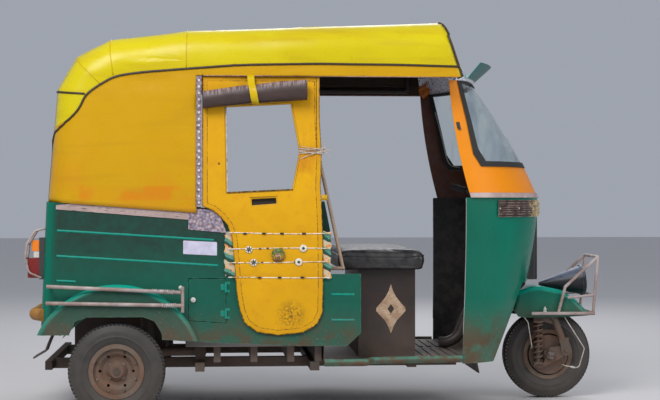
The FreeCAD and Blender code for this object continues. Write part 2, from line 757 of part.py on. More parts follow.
def front_flap():
    """Rubber flap behind the front wheel, hung from the toe board."""
    x = FRONT_AXLE_X - ARCH_BACK - ARCH_R
    pts = [(x - 4, 292), (x - 4, 236), (x + 22, 138), (x + 28, 139), (x + 8, 236), (x + 16, 292)]
    board = rod((x + ARCH_R, -200, AXLE_Z), (x + ARCH_R, 200, AXLE_Z), ARCH_R + 1 - SEAT_GAP)
    return prism_xz(pts, -190, 190).common(board)


# Driver's floor, toe board and sills


def driver_floor():
    x = FRONT_AXLE_X - ARCH_BACK
    foot_x = x - ARCH_R
    half = COWL_FLOOR_HALF
    plan = [(x, -y) for x, y in FLOOR_PLAN] + [(x, y) for x, y in reversed(FLOOR_PLAN)]
    pan = prism_xy(plan, FLOOR_Z, FLOOR_Z + SHEET)
    front = box(600, foot_x, -half, half, FLOOR_Z, FLOOR_Z + SHEET)
    pan = pan.fuse(front.common(nose_body(COWL, WALL + SEAT_GAP, 60.0)))
    ribs = []
    for a in (440, 480, 520, 560, 600):
        for y in (-380, 40):
            ribs.append(box(a, a + 18, y, y + 340, FLOOR_Z + SHEET, FLOOR_Z + SHEET + 5))
    ring = rod((x, -600, AXLE_Z), (x, 600, AXLE_Z), ARCH_R + 1 + SHEET)
    ring = ring.cut(rod((x, -601, AXLE_Z), (x, 601, AXLE_Z), ARCH_R + 1))
    board = ring.common(box(foot_x - 13, x - 70, -600, 600, FLOOR_Z, 600))
    board = board.common(nose_body(COWL, WALL + SEAT_GAP, 60.0))
    board = board.cut(rod((on_axis(650), 0, 650), (on_axis(450), 0, 450), COLUMN_R + 8))
    return joined([pan, board] + ribs)


def sill():
    """Rolled edge of the driver's step, outside the floor pan."""
    d = SILL_R + SEAT_GAP
    plan = [V(x, -y, 0) for x, y in FLOOR_PLAN]
    normals = []
    for a, b in zip(plan, plan[1:]):
        run = (b - a).normalize()
        normals.append(V(run.y, -run.x, 0))
    path = [plan[0] + normals[0] * d]
    for k in (1, 2):
        both = (normals[k - 1] + normals[k]).normalize()
        path.append(plan[k] + both * (d / both.dot(normals[k])))
    path.append(plan[3] + normals[2] * d)
    return bent_tube([(p.x, p.y, SILL_Z + SILL_R) for p in path], SILL_R, SILL_R + 5)


# Rear tub: sides, corners and rear skin are one pressed wrap
def wrap_outline(z, x_rear, half, r, front):
    w = half
    k = r * (1 - math.sqrt(0.5))
    a = V(front, -w, z)
    b = V(x_rear + r, -w, z)
    m = V(x_rear + k, -w + k, z)
    c = V(x_rear, -w + r, z)

    def flip(p):
        return V(p.x, -p.y, p.z)

    edges = [
        Part.makeLine(a, b),
        Part.Arc(b, m, c).toShape(),
        Part.makeLine(c, flip(c)),
        Part.Arc(flip(c), flip(m), flip(b)).toShape(),
        Part.makeLine(flip(b), flip(a)),
        Part.makeLine(flip(a), a),
    ]
    return Part.Wire(edges)


def wrap(inset, front):
    lean = (REAR_FOOT_X - REAR_TOP_X) / (REAR_FOOT_Z - BELT_REAR_Z)
    wires = []
    for z in (REAR_FOOT_Z - 60, BELT_REAR_Z + 60):
        x = REAR_TOP_X + lean * (z - BELT_REAR_Z) + inset
        wires.append(wrap_outline(z, x, BODY_HALF - inset, CORNER_R - inset, front))
    return Part.makeLoft(wires, True, True)


def tub_skin():
    return wrap(0, SIDE_FRONT_X).cut(wrap(SHEET, SIDE_FRONT_X + 50))


def wheel_hole(y0, y1, r=WHEEL_HOLE_R):
    return rod((REAR_AXLE_X, y0, AXLE_Z), (REAR_AXLE_X, y1, AXLE_Z), r)


def swage(x0, z0, x1, z1):
    y = -BODY_HALF + 1.5
    return rod((x0, y, z0), (x1, y, z1), 5)


def flap_outline(grow):
    g = grow
    return [(-606 - g, 602 + g), (-449 + g, 602 + g), (-449 + g, 412 - g), (-606 - g, 424 - g)]


def side_swages():
    return [
        swage(-1168, 811, -500, 769), swage(-1170, 702, -482, 659), swage(-1170, 596, -1090, 592),
        swage(10, 532, 108, 531), swage(10, 421, 108, 420),
    ]


def oval_boss():
    """Long pressed boss under the belt of each side."""
    a = (-777, -BODY_HALF + 4, 856)
    b = (-711, -BODY_HALF + 4, 853)
    pill = joined([rod(a, b, 9), Part.makeSphere(9, V(*a)), Part.makeSphere(9, V(*b))])
    return pill.common(box(-800, -690, -BEYOND, -BODY_HALF + SHEET, 830, 880))


def side_right():
    panel = tub_skin().common(prism_xz(SIDE_VIEW, -BEYOND, -PANEL_SPLIT))
    panel = panel.cut(wheel_hole(-BEYOND, -PANEL_SPLIT + 40))
    panel = joined([panel, oval_boss()] + side_swages())
    panel = panel.cut(prism_xz(flap_outline(SHUT_GAP), -BEYOND, -BODY_HALF + SHEET + 1))
    x, y = FLAP_HINGE_X, FLAP_HINGE_Y
    knuckles = []
    for z in FLAP_HINGE_Z:
        for e in (-1, 1):
            a = z + e * (12 + SEAT_GAP)
            b = a + e * 10
            knuckles.append(rod((x, y, a), (x, y, b), KNUCKLE_R))
            knuckles.append(box(x, x + 16, -BODY_HALF - 2, -BODY_HALF, min(a, b), max(a, b)))
        knuckles.append(rod((x, y, z - 22), (x, y, z + 22), HINGE_PIN_R))
    return joined([panel] + knuckles)


def side_left():
    panel = tub_skin().common(prism_xz(SIDE_VIEW, PANEL_SPLIT, BEYOND))
    door = box(BELT_END_X + 60, 400, PANEL_SPLIT - 40, BEYOND, 100, 1200)
    rear = panel.cut(wheel_hole(PANEL_SPLIT - 40, BEYOND)).cut(door)
    beads = [mirrored(s).cut(door) for s in side_swages()[:3] + [oval_boss()]]
    return joined([rear] + beads)


def rear_panel():
    half = PANEL_SPLIT - SEAT_GAP
    panel = tub_skin().common(box(-1300, -1150, -half, half, 372, BELT_REAR_Z + 4))
    gap = SHUT_GAP
    hole = box(-1300, -1150, -HATCH_HALF - gap, HATCH_HALF + gap, HATCH_Z0 - gap, HATCH_Z1 + gap)
    knuckles = []
    for s in (-1, 1):
        y = s * HATCH_HINGE_Y
        for e in (-1, 1):
            a = y + e * (20 + SEAT_GAP)
            b = a + e * 16
            knuckles.append(rod((HINGE_X, a, HINGE_Z), (HINGE_X, b, HINGE_Z), KNUCKLE_R))
            knuckles.append(box(HINGE_X, HINGE_X + 8, min(a, b), max(a, b), HINGE_Z, HINGE_Z + 18))
        knuckles.append(rod((HINGE_X, y - 36, HINGE_Z), (HINGE_X, y + 36, HINGE_Z), HINGE_PIN_R))
    return joined([panel.cut(hole)] + knuckles)


def engine_hatch():
    skin = wrap(0, 0).cut(wrap(SHEET, 50))
    lid = skin.common(box(-1300, -1150, -HATCH_HALF, HATCH_HALF, HATCH_Z0, HATCH_Z1))
    slots = []
    for row in range(6):
        z = HATCH_Z0 + 60 + row * 28
        for s in (-1, 1):
            y0, y1 = sorted((s * LOUVRE_MID, s * (HATCH_HALF - LOUVRE_EDGE)))
            slots.append(box(-1300, -1150, y0, y1, z, z + 9))
    leaves = []
    for s in (-1, 1):
        y = s * HATCH_HINGE_Y
        leaves.append(rod((HINGE_X, y - 20, HINGE_Z), (HINGE_X, y + 20, HINGE_Z), KNUCKLE_R))
        leaves.append(box(HINGE_X - 3, HINGE_X + 6, y - 20, y + 20, HINGE_Z - 26, HINGE_Z))
    lid = joined([lid.cut(slots)] + leaves).cut(wrap(0, 0).cut(wrap(40, 50)).cut(
        box(-1300, -1100, -HATCH_HALF, HATCH_HALF, HATCH_Z0, HATCH_Z1)))
    return lid.cut(rod((HINGE_X, -600, HINGE_Z), (HINGE_X, 600, HINGE_Z), HINGE_PIN_R + RUN_FIT))


def filler_flap():
    """Pressed flap on a vertical hinge at its front edge, with a round lock."""
    y0 = -BODY_HALF
    lid = prism_xz(flap_outline(0), y0, y0 + SHEET)
    lock = rod((-588, y0 - 6, 512), (-588, y0 + 12, 512), 9)
    leaf = []
    x = FLAP_HINGE_X
    for z in FLAP_HINGE_Z:
        leaf.append(rod((x, FLAP_HINGE_Y, z - 12), (x, FLAP_HINGE_Y, z + 12), KNUCKLE_R))
        leaf.append(box(x - 22, x, y0 - 2, y0 + 1, z - 12, z + 12))
    pin = rod((FLAP_HINGE_X, FLAP_HINGE_Y, 380), (FLAP_HINGE_X, FLAP_HINGE_Y, 640), HINGE_PIN_R + RUN_FIT)
    return joined([lid, lock] + leaf).cut(pin)


# Rear fenders


def rear_fender():
    y0 = -BODY_HALF - SEAT_GAP
    y1 = -BODY_HALF - FLARE
    outer = rod((REAR_AXLE_X, y0, AXLE_Z), (REAR_AXLE_X, y1, AXLE_Z), FENDER_R)
    outer = rounded(outer, LIP_R, lambda e: abs(e.CenterOfMass.y - y1) < 0.5 and len(e.Vertexes) == 1)
    y2 = y1 + SHEET
    inner = rod((REAR_AXLE_X, y0 + 1, AXLE_Z), (REAR_AXLE_X, y2, AXLE_Z), FENDER_R - SHEET)
    inner = rounded(inner, LIP_R - SHEET, lambda e: abs(e.CenterOfMass.y - y2) < 0.5 and len(e.Vertexes) == 1)
    cuts = [prism_xz(points, -BEYOND - 100, -BODY_HALF + 90) for points in (FENDER_FOOT, FENDER_ARCH)]
    return outer.cut(inner).cut(cuts)


def wheel_liner():
    y0 = -BODY_HALF + SHEET + SEAT_GAP
    y1 = -PANEL_SPLIT - 22
    ring = rod((REAR_AXLE_X, y0, AXLE_Z), (REAR_AXLE_X, y1, AXLE_Z), WHEEL_HOLE_R + 10)
    bore = WHEEL_HOLE_R + 10 - SHEET
    ring = ring.cut(rod((REAR_AXLE_X, y0 - 5, AXLE_Z), (REAR_AXLE_X, y1 + 5, AXLE_Z), bore))
    return ring.cut(box(-1300, -500, y0 - 5, y1 + 5, -300, 350))


def side_guard():
    y = -BODY_HALF - FLARE - GUARD_R - 5
    upper = rod((-1207, y, 575), (-640, y, 547), GUARD_R)
    lower = rod((-1210, y, 504), (-626, y, 491), GUARD_R)
    post = rod((-632, y, 462), (-632, y, 572), GUARD_R - 1)
    stays = [
        rod((-1200, y, 574), (-1200, -BODY_HALF - SEAT_GAP, 574), 6),
        rod((-1200, y, 504), (-1200, -BODY_HALF - SEAT_GAP, 504), 6),
        rod((-632, y, 480), (-632, -BODY_HALF - SEAT_GAP, 480), 6),
    ]
    return joined([upper, lower, post] + stays)


# Rear end


def lamps():
    """Lamp cluster on a base plate: amber, clear and red lenses from the top down."""
    solids = [box(-1250, -1225, LAMP_OUT_Y, LAMP_IN_Y, 600, 780)]
    for z0, z1, x in LAMP_LENSES:
        lens = box(x, -1246, LAMP_OUT_Y + 6, LAMP_IN_Y - 6, z0, z1)
        solids.append(rounded(lens, 8, lambda e: e.CenterOfMass.x < x + 1))
    return both_sides(joined(solids).cut(wrap(-SEAT_GAP, 0)))


def lamp_guard():
    outer_y = LAMP_OUT_Y - 8
    inner_y = LAMP_IN_Y + 7
    hoop = [(-1226, 820), (-1268, 809), (-1302, 752), (-1309.5, 690), (-1292, 630), (-1240, 607)]
    out = [bent_tube([(x, y, z) for x, z in hoop], 4.5, 22) for y in (outer_y, inner_y)]
    for x, z in hoop[2:4]:
        out.append(rod((x, outer_y, z), (x, inner_y, z), 4))
    return both_sides(joined(out).cut(wrap(-SEAT_GAP, 0)))


def rear_bumper():
    end = BODY_HALF - 30
    bend = BODY_HALF - 120
    bar = bent_tube([(-1225, -end, 446), (-1275, -bend, 446), (-1275, bend, 446), (-1225, end, 446)], 27, 70)
    brackets = [box(-1262, -1242, y - 20, y + 20, 430, 470) for y in (90 - bend, bend - 90)]
    return joined([bar] + brackets).cut(wrap(-SEAT_GAP, 0))


def rear_mudflap():
    pts = [(-1184, 371), (-1205, 322), (-1216, 292), (-1268, 262)]
    pts += [(-1271, 268), (-1221, 297), (-1211, 324), (-1191, 371)]
    return both_sides(prism_xz(pts, -BODY_HALF + SHEET, -BODY_HALF + 120))


# Chassis and running gear


def chassis():
    low, top = FLOOR_Z - RAIL_H, FLOOR_Z - SEAT_GAP
    rails = [box(-1180, 600, s * 300 - 20, s * 300 + 20, low, top) for s in (-1, 1)]
    cross = []
    for x, half in ((ARM_PIVOT_X, BODY_HALF - 30), (-60, BODY_HALF - 40), (380, PANEL_SPLIT + 10)):
        cross.append(box(x - 20, x + 20, -half, half, FLOOR_Z - RAIL_H + 6, FLOOR_Z - SEAT_GAP))
    tail = [box(-1236, -1180, s * 300 - 20, s * 300 + 20, low, top) for s in (-1, 1)]
    rear = box(-1236, -1206, -PANEL_SPLIT, PANEL_SPLIT, FLOOR_Z - RAIL_H + 6, FLOOR_Z - SEAT_GAP)
    beds = [box(x - 25, x + 25, -300, 300, FLOOR_Z - RAIL_H + 10, FLOOR_Z - SEAT_GAP) for x in (-1060, -790)]
    ears = []
    for s in (-1, 1):
        for y in (s * ARM_Y - 48, s * ARM_Y + 40):
            ears.append(box(ARM_PIVOT_X - 20, ARM_PIVOT_X + 20, y, y + 8, FLOOR_Z - 10, ARM_PIVOT_Z))
            ears.append(rod((ARM_PIVOT_X, y, ARM_PIVOT_Z), (ARM_PIVOT_X, y + 8, ARM_PIVOT_Z), 20))
        a, b = s * ARM_Y - 52, s * ARM_Y + 52
        ears.append(rod((ARM_PIVOT_X, a, ARM_PIVOT_Z), (ARM_PIVOT_X, b, ARM_PIVOT_Z), PIN_R))
    return joined(rails + cross + tail + beds + ears + [rear])


def cabin_floor():
    """Raised passenger floor with its front step down and the seat riser behind."""
    floor = box(-620, -20, -BODY_HALF + SHEET + SEAT_GAP, BODY_HALF - 4, CABIN_Z - SHEET, CABIN_Z)
    half = BODY_HALF - 30
    front = box(-22, -20, -half, half, FLOOR_Z + SHEET, CABIN_Z)
    riser = box(-622, -620, -half, half, CABIN_Z - 6, DECK_Z)
    beams = [box(x, x + 30, 20 - half, half - 20, FLOOR_Z, CABIN_Z - SHEET) for x in (-500, -340, -180, -60)]
    deck = box(-1150, -620, -BENCH_HALF - 5, BENCH_HALF + 5, DECK_Z, DECK_Z + SHEET)
    return joined([floor, front, riser, deck] + beams)


def trailing_arm():
    """Right trailing arm with its hub carrier, brake drum, spindle and drive shaft."""
    y = -ARM_Y
    face = -REAR_TRACK / 2 + HUB_HALF + 6
    path = [(ARM_PIVOT_X, y, ARM_PIVOT_Z), (-720, y, ARM_PIVOT_Z), (REAR_AXLE_X, y - 40, AXLE_Z)]
    arm = bent_tube(path, ARM_R, 120)
    a, b = y - 40 + SEAT_GAP, y + 40 - SEAT_GAP
    eye = rod((ARM_PIVOT_X, a, ARM_PIVOT_Z), (ARM_PIVOT_X, b, ARM_PIVOT_Z), ARM_EYE_R)
    back = face + 39
    hub = rod((REAR_AXLE_X, y, AXLE_Z), (REAR_AXLE_X, face, AXLE_Z), 56)
    drum = rod((REAR_AXLE_X, back, AXLE_Z), (REAR_AXLE_X, face, AXLE_Z), DRUM_R)
    spindle = rod((REAR_AXLE_X, back, AXLE_Z), (REAR_AXLE_X, -REAR_TRACK / 2 - HUB_HALF - 6, AXLE_Z), AXLE_R)
    shaft = rod((REAR_AXLE_X, -ENGINE_HALF - SEAT_GAP, AXLE_Z + 72), (REAR_AXLE_X, y - 5, AXLE_Z + 28), 13)
    bore = rod((ARM_PIVOT_X, y - 60, ARM_PIVOT_Z), (ARM_PIVOT_X, y + 60, ARM_PIVOT_Z), PIN_R + RUN_FIT)
    side = box(-1000, -800, y - 40, -ENGINE_HALF - SEAT_GAP, 100, 400)
    shaft = shaft.common(side)
    return joined([arm, eye, hub, drum, spindle, shaft]).cut(bore)


def rear_spring():
    """Spring and damper leg from the trailing arm up to the seat deck."""
    x, y = -790, -ARM_Y
    leg = rod((x, y, 300), (x, y, DECK_Z - SEAT_GAP), 11)
    coil = rod((x, y, 330), (x, y, 560), 31)
    return joined([leg, coil])


def engine():
    return box(-1130, -720, -ENGINE_HALF, ENGINE_HALF, FLOOR_Z, 585)


# Seats


def bench():
    cushion = box(-1140, -625, -BENCH_HALF, BENCH_HALF, DECK_Z + SHEET + SEAT_GAP, BENCH_Z)
    return rounded(cushion, 30, lambda e: e.CenterOfMass.z > BENCH_Z - 5)


def backrest():
    half = BENCH_HALF + 50
    back = box(-1165, -1060, -half, half, BENCH_Z + SEAT_GAP, 1150)
    return rounded(back, 30, lambda e: e.CenterOfMass.x > -1061)


def driver_seat():
    seat = box(40, SEAT_FRONT_X, -SEAT_HALF, SEAT_HALF, SEAT_BASE_Z + SEAT_GAP, SEAT_Z)
    return rounded(seat, 34, lambda e: e.CenterOfMass.z > SEAT_Z - 2 or (
        e.CenterOfMass.x > SEAT_FRONT_X - 1 and e.Length < 100))


def seat_base():
    half = SEAT_HALF - 70
    base = box(150, 408, -half, half, FLOOR_Z + SHEET + SEAT_GAP, SEAT_BASE_Z)
    return base.cut(box(153, 405, 3 - half, half - 3, FLOOR_Z, SEAT_BASE_Z - 3))


def partition():
    """Hoop behind the driver with its lower sheet and two sloping stays."""
    x = PARTITION_X
    y = -CURTAIN_TOP[0] - 2 * TUBE_R - SEAT_GAP
    foot = CABIN_Z + SEAT_GAP
    hoop = bent_tube([(x, -y, foot), (x, -y, 1684), (x, y, 1684), (x, y, foot)], TUBE_R, 110)
    low, high = 640, 1200
    bars = [rod((x, -y, z), (x, y, z), r) for z, r in ((low, TUBE_R), (930, TUBE_R), (high, 9))]
    stays = []
    for stay_y in (80 - y, y - 80):
        toe = (70, stay_y, low)
        stays += [rod((x, stay_y, high), toe, 8), rod((x, stay_y, low), toe, 8), Part.makeSphere(9, V(*toe))]
    sheet = box(x - 1, x + 1, -y, y, CABIN_Z + 2, low)
    return joined([hoop, sheet] + bars + stays)


# Canopy and its frame


def canopy_prism(inset):
    """Side view of the roof run through the whole width."""
    i = inset
    shift = (0, 0, 0.6, 0.6, 1, 1)
    lift = (3, 3, 1.5, 0, 0, 0)          # the camber is cut just below this line
    pts = [(x + i * k, z - i + up) for k, up, (x, z) in zip(shift, lift, ROOF_LINE)]
    (xa, za), (xb, zb) = pts[:2]
    pts[0] = (CANOPY_REACH, za + (CANOPY_REACH - xa) * (za - zb) / (xa - xb))
    (xa, za), (xb, zb) = pts[4:]
    low = BELT_REAR_Z - 120 if i else BELT_REAR_Z - 80
    pts[5] = (xb + (low - zb) * (xa - xb) / (za - zb), low)
    start = [V(x, -BEYOND, z) for x, z in pts]
    toe = V(CANOPY_REACH, -BEYOND, low)
    edges = [Part.makeLine(start[0], start[1]), Part.makeLine(start[1], start[2])]
    edges.append(Part.Arc(start[2], start[3], start[4]).toShape())
    edges.append(Part.makeLine(start[4], start[5]))
    edges.append(Part.makeLine(start[5], toe))
    edges.append(Part.makeLine(toe, start[0]))
    return Part.Face(Part.Wire(edges)).extrude(V(0, 2 * BEYOND, 0))


def canopy_body(inset):
    i = inset
    top = ROOF_LINE[0][1] + 60
    wl = CANOPY_HALF_LOW - i
    wt = CANOPY_HALF_TOP - i
    across = prism_yz([(-wl, 800), (wl, 800), (wt, top), (-wt, top)], -1300, CANOPY_REACH)
    body = canopy_prism(i).common(across)
    for k in (0, 1):
        a = V(ROOF_LINE[k][0], 0, ROOF_LINE[k][1] - i)
        b = V(ROOF_LINE[k + 1][0], 0, ROOF_LINE[k + 1][1] - i)
        run = (a - b).normalize()
        up = V(-run.z, 0, run.x)
        crown = Part.makeCylinder(CROWN_R, 5000, b - up * CROWN_R - run * 2500, run)
        body = body.common(crown)

    def shoulder(e):
        m = e.CenterOfMass
        return abs(m.y) > 400 and m.x < CANOPY_REACH - 1 and m.z > 860

    body = body.makeFillet(CANOPY_R - i, [e for e in body.Edges if shoulder(e)])
    return body.cut(roof_front(i))


def roof_front(inset):
    """Everything ahead of the leaning front of the roof."""
    top = 1800.0
    x = ROOF_FRONT_X - inset - (top - ROOF_LINE[0][1]) * FRONT_LEAN
    foot = x + 1100 * FRONT_LEAN
    return prism_xz([(x, top), (foot, top - 1100), (900, top - 1100), (900, top)], -BEYOND - 20, BEYOND + 20)


def canopy():
    """Hood in five panels, sewn edge to edge: two sides with the shoulders, a back and two of the roof."""
    shell = canopy_body(0).cut(canopy_body(CANOPY_T))
    door = box(QUARTER_X - 14, CANOPY_REACH, -BEYOND, BEYOND, 690, VALANCE_Z)
    edge = [(-1300, 690), (0, 690), (0, BELT_FRONT_Z - 42)]
    edge += [(QUARTER_X, BELT_FRONT_Z + 4), (-1300, BELT_REAR_Z + 8)]
    belt = prism_xz(edge, -BEYOND, BEYOND)
    window = box(-1300, -1100, -REAR_WINDOW_HALF, REAR_WINDOW_HALF, REAR_WINDOW_Z[0], REAR_WINDOW_Z[1])
    g = SEAT_GAP / 2
    seams = [box(-1300, 900, s * SEAM_Y - g, s * SEAM_Y + g, 800, 1800) for s in (-1, 1)]
    seams.append(box(SEAM_X - g, SEAM_X + g, -SEAM_Y, SEAM_Y, 1500, 1800))
    seams.append(box(-1300, -1100, -SEAM_Y, SEAM_Y, SEAM_Z - g, SEAM_Z + g))
    return shell.cut([door, belt, window, nose_body(CROWN[1:], -SEAT_GAP, 60.0)]).cut(seams)


def canopy_frame():
    """Bows of round tube under the canopy."""
    bows = []
    for x, z, w in ((QUARTER_X - 20, 1664, BODY_HALF - 25), (490, 1708, BODY_HALF - 30)):
        foot = 600 if x < 0 else 1500
        bows.append(bent_tube([(x, -w, foot), (x, -w, z), (x, w, z), (x, w, foot)], TUBE_R, 110))
    y = CURTAIN_TOP[0]
    rails = [rod((QUARTER_X - 20, s * y, RAIL_Z), (490, s * y, RAIL_Z), TUBE_R) for s in (-1, 1)]
    return joined(bows + rails)


def curtain_y(z):
    """Middle of the curtain: it slopes out from the roof rail to the belt, then hangs plumb."""
    (ya, za), (yb, zb) = CURTAIN_TOP, CURTAIN_BEND
    return yb if z < zb else yb + (ya - yb) * (z - zb) / (za - zb)


def door_curtain():
    h = CURTAIN_T / 2
    (ya, za), (yb, zb) = CURTAIN_TOP, CURTAIN_BEND
    section = [(ya - h, za), (ya + h, za), (yb + h, zb), (yb + h, 300), (yb - h, 300), (yb - h, zb)]
    outline = [prism_xz(points, -BEYOND, -BODY_HALF + 90) for points in (CURTAIN_EDGE, CURTAIN_WINDOW)]
    return prism_yz(section, -600, 0).common(outline[0]).cut(outline[1])


def blind():
    y = curtain_y(1372) - CURTAIN_T / 2 - BLIND_R + SEAT_GAP
    return rod((-546, y, 1388), (-98, y, 1406), BLIND_R)


def studded_strip():
    """Metal strip with a row of studs that closes the front edge of the rear quarter."""
    def face(z):
        lean = (CANOPY_HALF_LOW - CANOPY_HALF_TOP) / (ROOF_LINE[0][1] + 60 - 800)
        return -CANOPY_HALF_LOW + lean * (z - 800) - SEAT_GAP

    low, high = 912.0, 1446.0
    section = [(face(low), low), (face(high), high), (face(high) - 2, high), (face(low) - 2, low)]
    strip = prism_yz(section, -575, -552)
    studs = []
    for k in range(10):
        z = 930 + 55 * k
        studs.append(rod((-563.5, face(z) - 5, z), (-563.5, face(z) - 1, z), 5))
    return joined([strip] + studs)


def belt_trim():
    pts = [(-1173, 920), (-1118, 925), (-1112, 945), (-503, 899), (-470, 870)]
    pts += [(-445, 800), (-609, 815), (-609, 857), (-1173, 902)]
    y = -BODY_HALF
    strip = prism_xz(pts, y - 3 - SEAT_GAP, y - SEAT_GAP)
    return strip


PIECES = {
    "front_tyre": lambda: to_front(tyre(0)),
    "front_rim": lambda: to_front(rim(0, 1)),
    "rear_tyre_right": lambda: tyre(rear_hub_y(-1)),
    "rear_tyre_left": lambda: tyre(rear_hub_y(1)),
    "rear_rim_right": lambda: rim(rear_hub_y(-1), -1),
    "rear_rim_left": lambda: rim(rear_hub_y(1), 1),
    "cowl_lower": cowl_lower,
    "cowl_upper": cowl_upper,
    "windscreen": windscreen,
    "windscreen_gasket": gasket,
    "header_panel": header,
    "sun_visor": visor,
    "cowl_trim": belt_strip,
    "corner_lamps": lambda: both_sides(corner_lamps()),
    "nose_shroud": nose_shroud,
    "head_tube": head_tube,
    "handlebar": handlebar,
    "grips": grips,
    "fork": fork,
    "front_link": front_link,
    "front_damper": damper,
    "front_spring": coil_spring,
    "front_fender": front_fender,
    "headlamp": headlamp,
    "headlamp_lens": headlamp_lens,
    "front_guard": front_guard,
    "brake_cables": brake_cables,
    "driver_floor": driver_floor,
    "sills": lambda: both_sides(sill()),
    "side_right": side_right,
    "side_left": side_left,
    "rear_panel": rear_panel,
    "engine_hatch": engine_hatch,
    "filler_flap": filler_flap,
    "rear_fenders": lambda: both_sides(rear_fender()),
    "wheel_liners": lambda: both_sides(wheel_liner()),
    "side_guards": lambda: both_sides(side_guard()),
    "rear_lamps": lamps,
    "lamp_guards": lamp_guard,
    "rear_bumper": rear_bumper,
    "mud_flaps": lambda: joined([front_flap(), rear_mudflap()]),
    "chassis": chassis,
    "cabin_floor": cabin_floor,
    "trailing_arms": lambda: both_sides(trailing_arm()),
    "rear_springs": lambda: both_sides(rear_spring()),
    "engine_block": engine,
    "bench_cushion": bench,
    "bench_back": backrest,
    "driver_seat": driver_seat,
    "seat_base": seat_base,
    "partition": partition,
    "canopy": canopy,
    "canopy_frame": canopy_frame,
    "door_curtain": door_curtain,
    "window_blind": blind,
    "studded_strip": studded_strip,
    "belt_trims": lambda: both_sides(belt_trim()),
}

for name, make in PIECES.items():
    shape = make()
    shape.exportStep("parts/" + name + ".step")
    b = shape.BoundBox
    print("%-20s solids %d valid %s x %.0f..%.0f y %.0f..%.0f z %.0f..%.0f" % (
        name, len(shape.Solids), shape.isValid(), b.XMin, b.XMax, b.YMin, b.YMax, b.ZMin, b.ZMax))
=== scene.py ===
from math import cos, exp, pi, radians, sin, sqrt

import bmesh
import bpy
from mathutils import Matrix, Vector, noise
from mathutils.bvhtree import BVHTree
from mathutils.geometry import delaunay_2d_cdt


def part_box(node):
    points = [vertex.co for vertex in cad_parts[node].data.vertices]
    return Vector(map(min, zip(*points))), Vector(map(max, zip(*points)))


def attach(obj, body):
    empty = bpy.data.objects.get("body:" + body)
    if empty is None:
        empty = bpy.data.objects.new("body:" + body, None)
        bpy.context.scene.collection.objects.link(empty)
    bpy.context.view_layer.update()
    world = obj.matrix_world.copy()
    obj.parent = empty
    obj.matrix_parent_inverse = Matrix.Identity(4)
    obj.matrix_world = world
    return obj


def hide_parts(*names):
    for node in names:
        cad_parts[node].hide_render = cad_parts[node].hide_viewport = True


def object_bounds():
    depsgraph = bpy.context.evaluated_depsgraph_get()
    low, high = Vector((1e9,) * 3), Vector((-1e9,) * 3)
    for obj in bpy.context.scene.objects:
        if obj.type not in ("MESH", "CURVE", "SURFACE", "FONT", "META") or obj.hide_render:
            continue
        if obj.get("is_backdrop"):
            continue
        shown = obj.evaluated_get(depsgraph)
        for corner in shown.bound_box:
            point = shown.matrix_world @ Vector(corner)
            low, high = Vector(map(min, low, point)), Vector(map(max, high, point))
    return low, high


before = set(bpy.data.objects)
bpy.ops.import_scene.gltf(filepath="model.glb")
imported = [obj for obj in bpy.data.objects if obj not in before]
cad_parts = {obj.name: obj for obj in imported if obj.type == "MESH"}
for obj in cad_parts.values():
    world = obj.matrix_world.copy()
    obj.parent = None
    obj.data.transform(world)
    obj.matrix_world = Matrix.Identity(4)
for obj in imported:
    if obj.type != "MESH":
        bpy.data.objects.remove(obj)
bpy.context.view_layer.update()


# The studio

# A pale floor, an even sky and two large soft lamps. The camera stands where
# the photograph was taken from: on the vehicle's right, level, a little behind
# its middle and turned slightly forward.
scene = bpy.context.scene
eye = bpy.data.cameras.new("eye")
eye.sensor_width = 36.0
eye.lens = 80.8
eye.clip_end = 200.0
camera = bpy.data.objects.new("eye", eye)
camera.location = (-0.489, -7.0, 0.942)
camera.rotation_euler = (radians(90), 0, radians(-4.39))
scene.collection.objects.link(camera)
scene.camera = camera
scene.view_settings.view_transform = "Standard"
scene.view_settings.exposure = 0.0


def soft_lamp(name, place, target, size, power):
    lamp = bpy.data.lights.new(name, "AREA")
    lamp.shape = "SQUARE"
    lamp.size = size
    lamp.energy = power
    holder = bpy.data.objects.new(name, lamp)
    holder.location = place
    aim = Vector(target) - Vector(place)
    holder.rotation_euler = aim.to_track_quat("-Z", "Y").to_euler()
    scene.collection.objects.link(holder)


soft_lamp("key", (-2.4, -4.6, 5.2), (0, 0, 0.9), 3.2, 330)
soft_lamp("fill", (4.6, -3.8, 3.0), (0.2, 0, 0.8), 3.5, 110)
soft_lamp("back", (1.0, 5.0, 4.2), (0, 0, 1.0), 3.5, 95)
sky = bpy.data.worlds.new("sky")
scene.world = sky
sky.use_nodes = True
sky.node_tree.nodes["Background"].inputs["Color"].default_value = (0.82, 0.88, 1.0, 1)
sky.node_tree.nodes["Background"].inputs["Strength"].default_value = 0.42


def node(tree, kind, inputs=None, **settings):
    """A node with its settings, its socket values and its links; colours may leave out their alpha."""
    n = tree.nodes.new(kind)
    for key, value in settings.items():
        setattr(n, key, value)
    for key, value in (inputs or {}).items():
        if isinstance(value, bpy.types.NodeSocket):
            tree.links.new(value, n.inputs[key])
        else:
            no_alpha = n.inputs[key].type == "RGBA" and len(value) == 3
            n.inputs[key].default_value = (*value, 1) if no_alpha else value
    return n


def blank_material(name):
    """A new material with one Principled BSDF, and its tree."""
    material = bpy.data.materials.new(name)
    material.use_nodes = True
    return material, material.node_tree


def inputs_of(tree):
    return tree.nodes["Principled BSDF"].inputs


def mix_colour(tree, factor, a, b):
    return node(tree, "ShaderNodeMix", {0: factor, 6: a, 7: b}, data_type="RGBA",
                clamp_factor=True).outputs[2]


def sum_of(tree, how, *values):
    return node(tree, "ShaderNodeMath", dict(enumerate(values)), operation=how).outputs[0]


def times(tree, a, b):
    return sum_of(tree, "MULTIPLY", a, b)


def plus(tree, a, b):
    return sum_of(tree, "ADD", a, b)


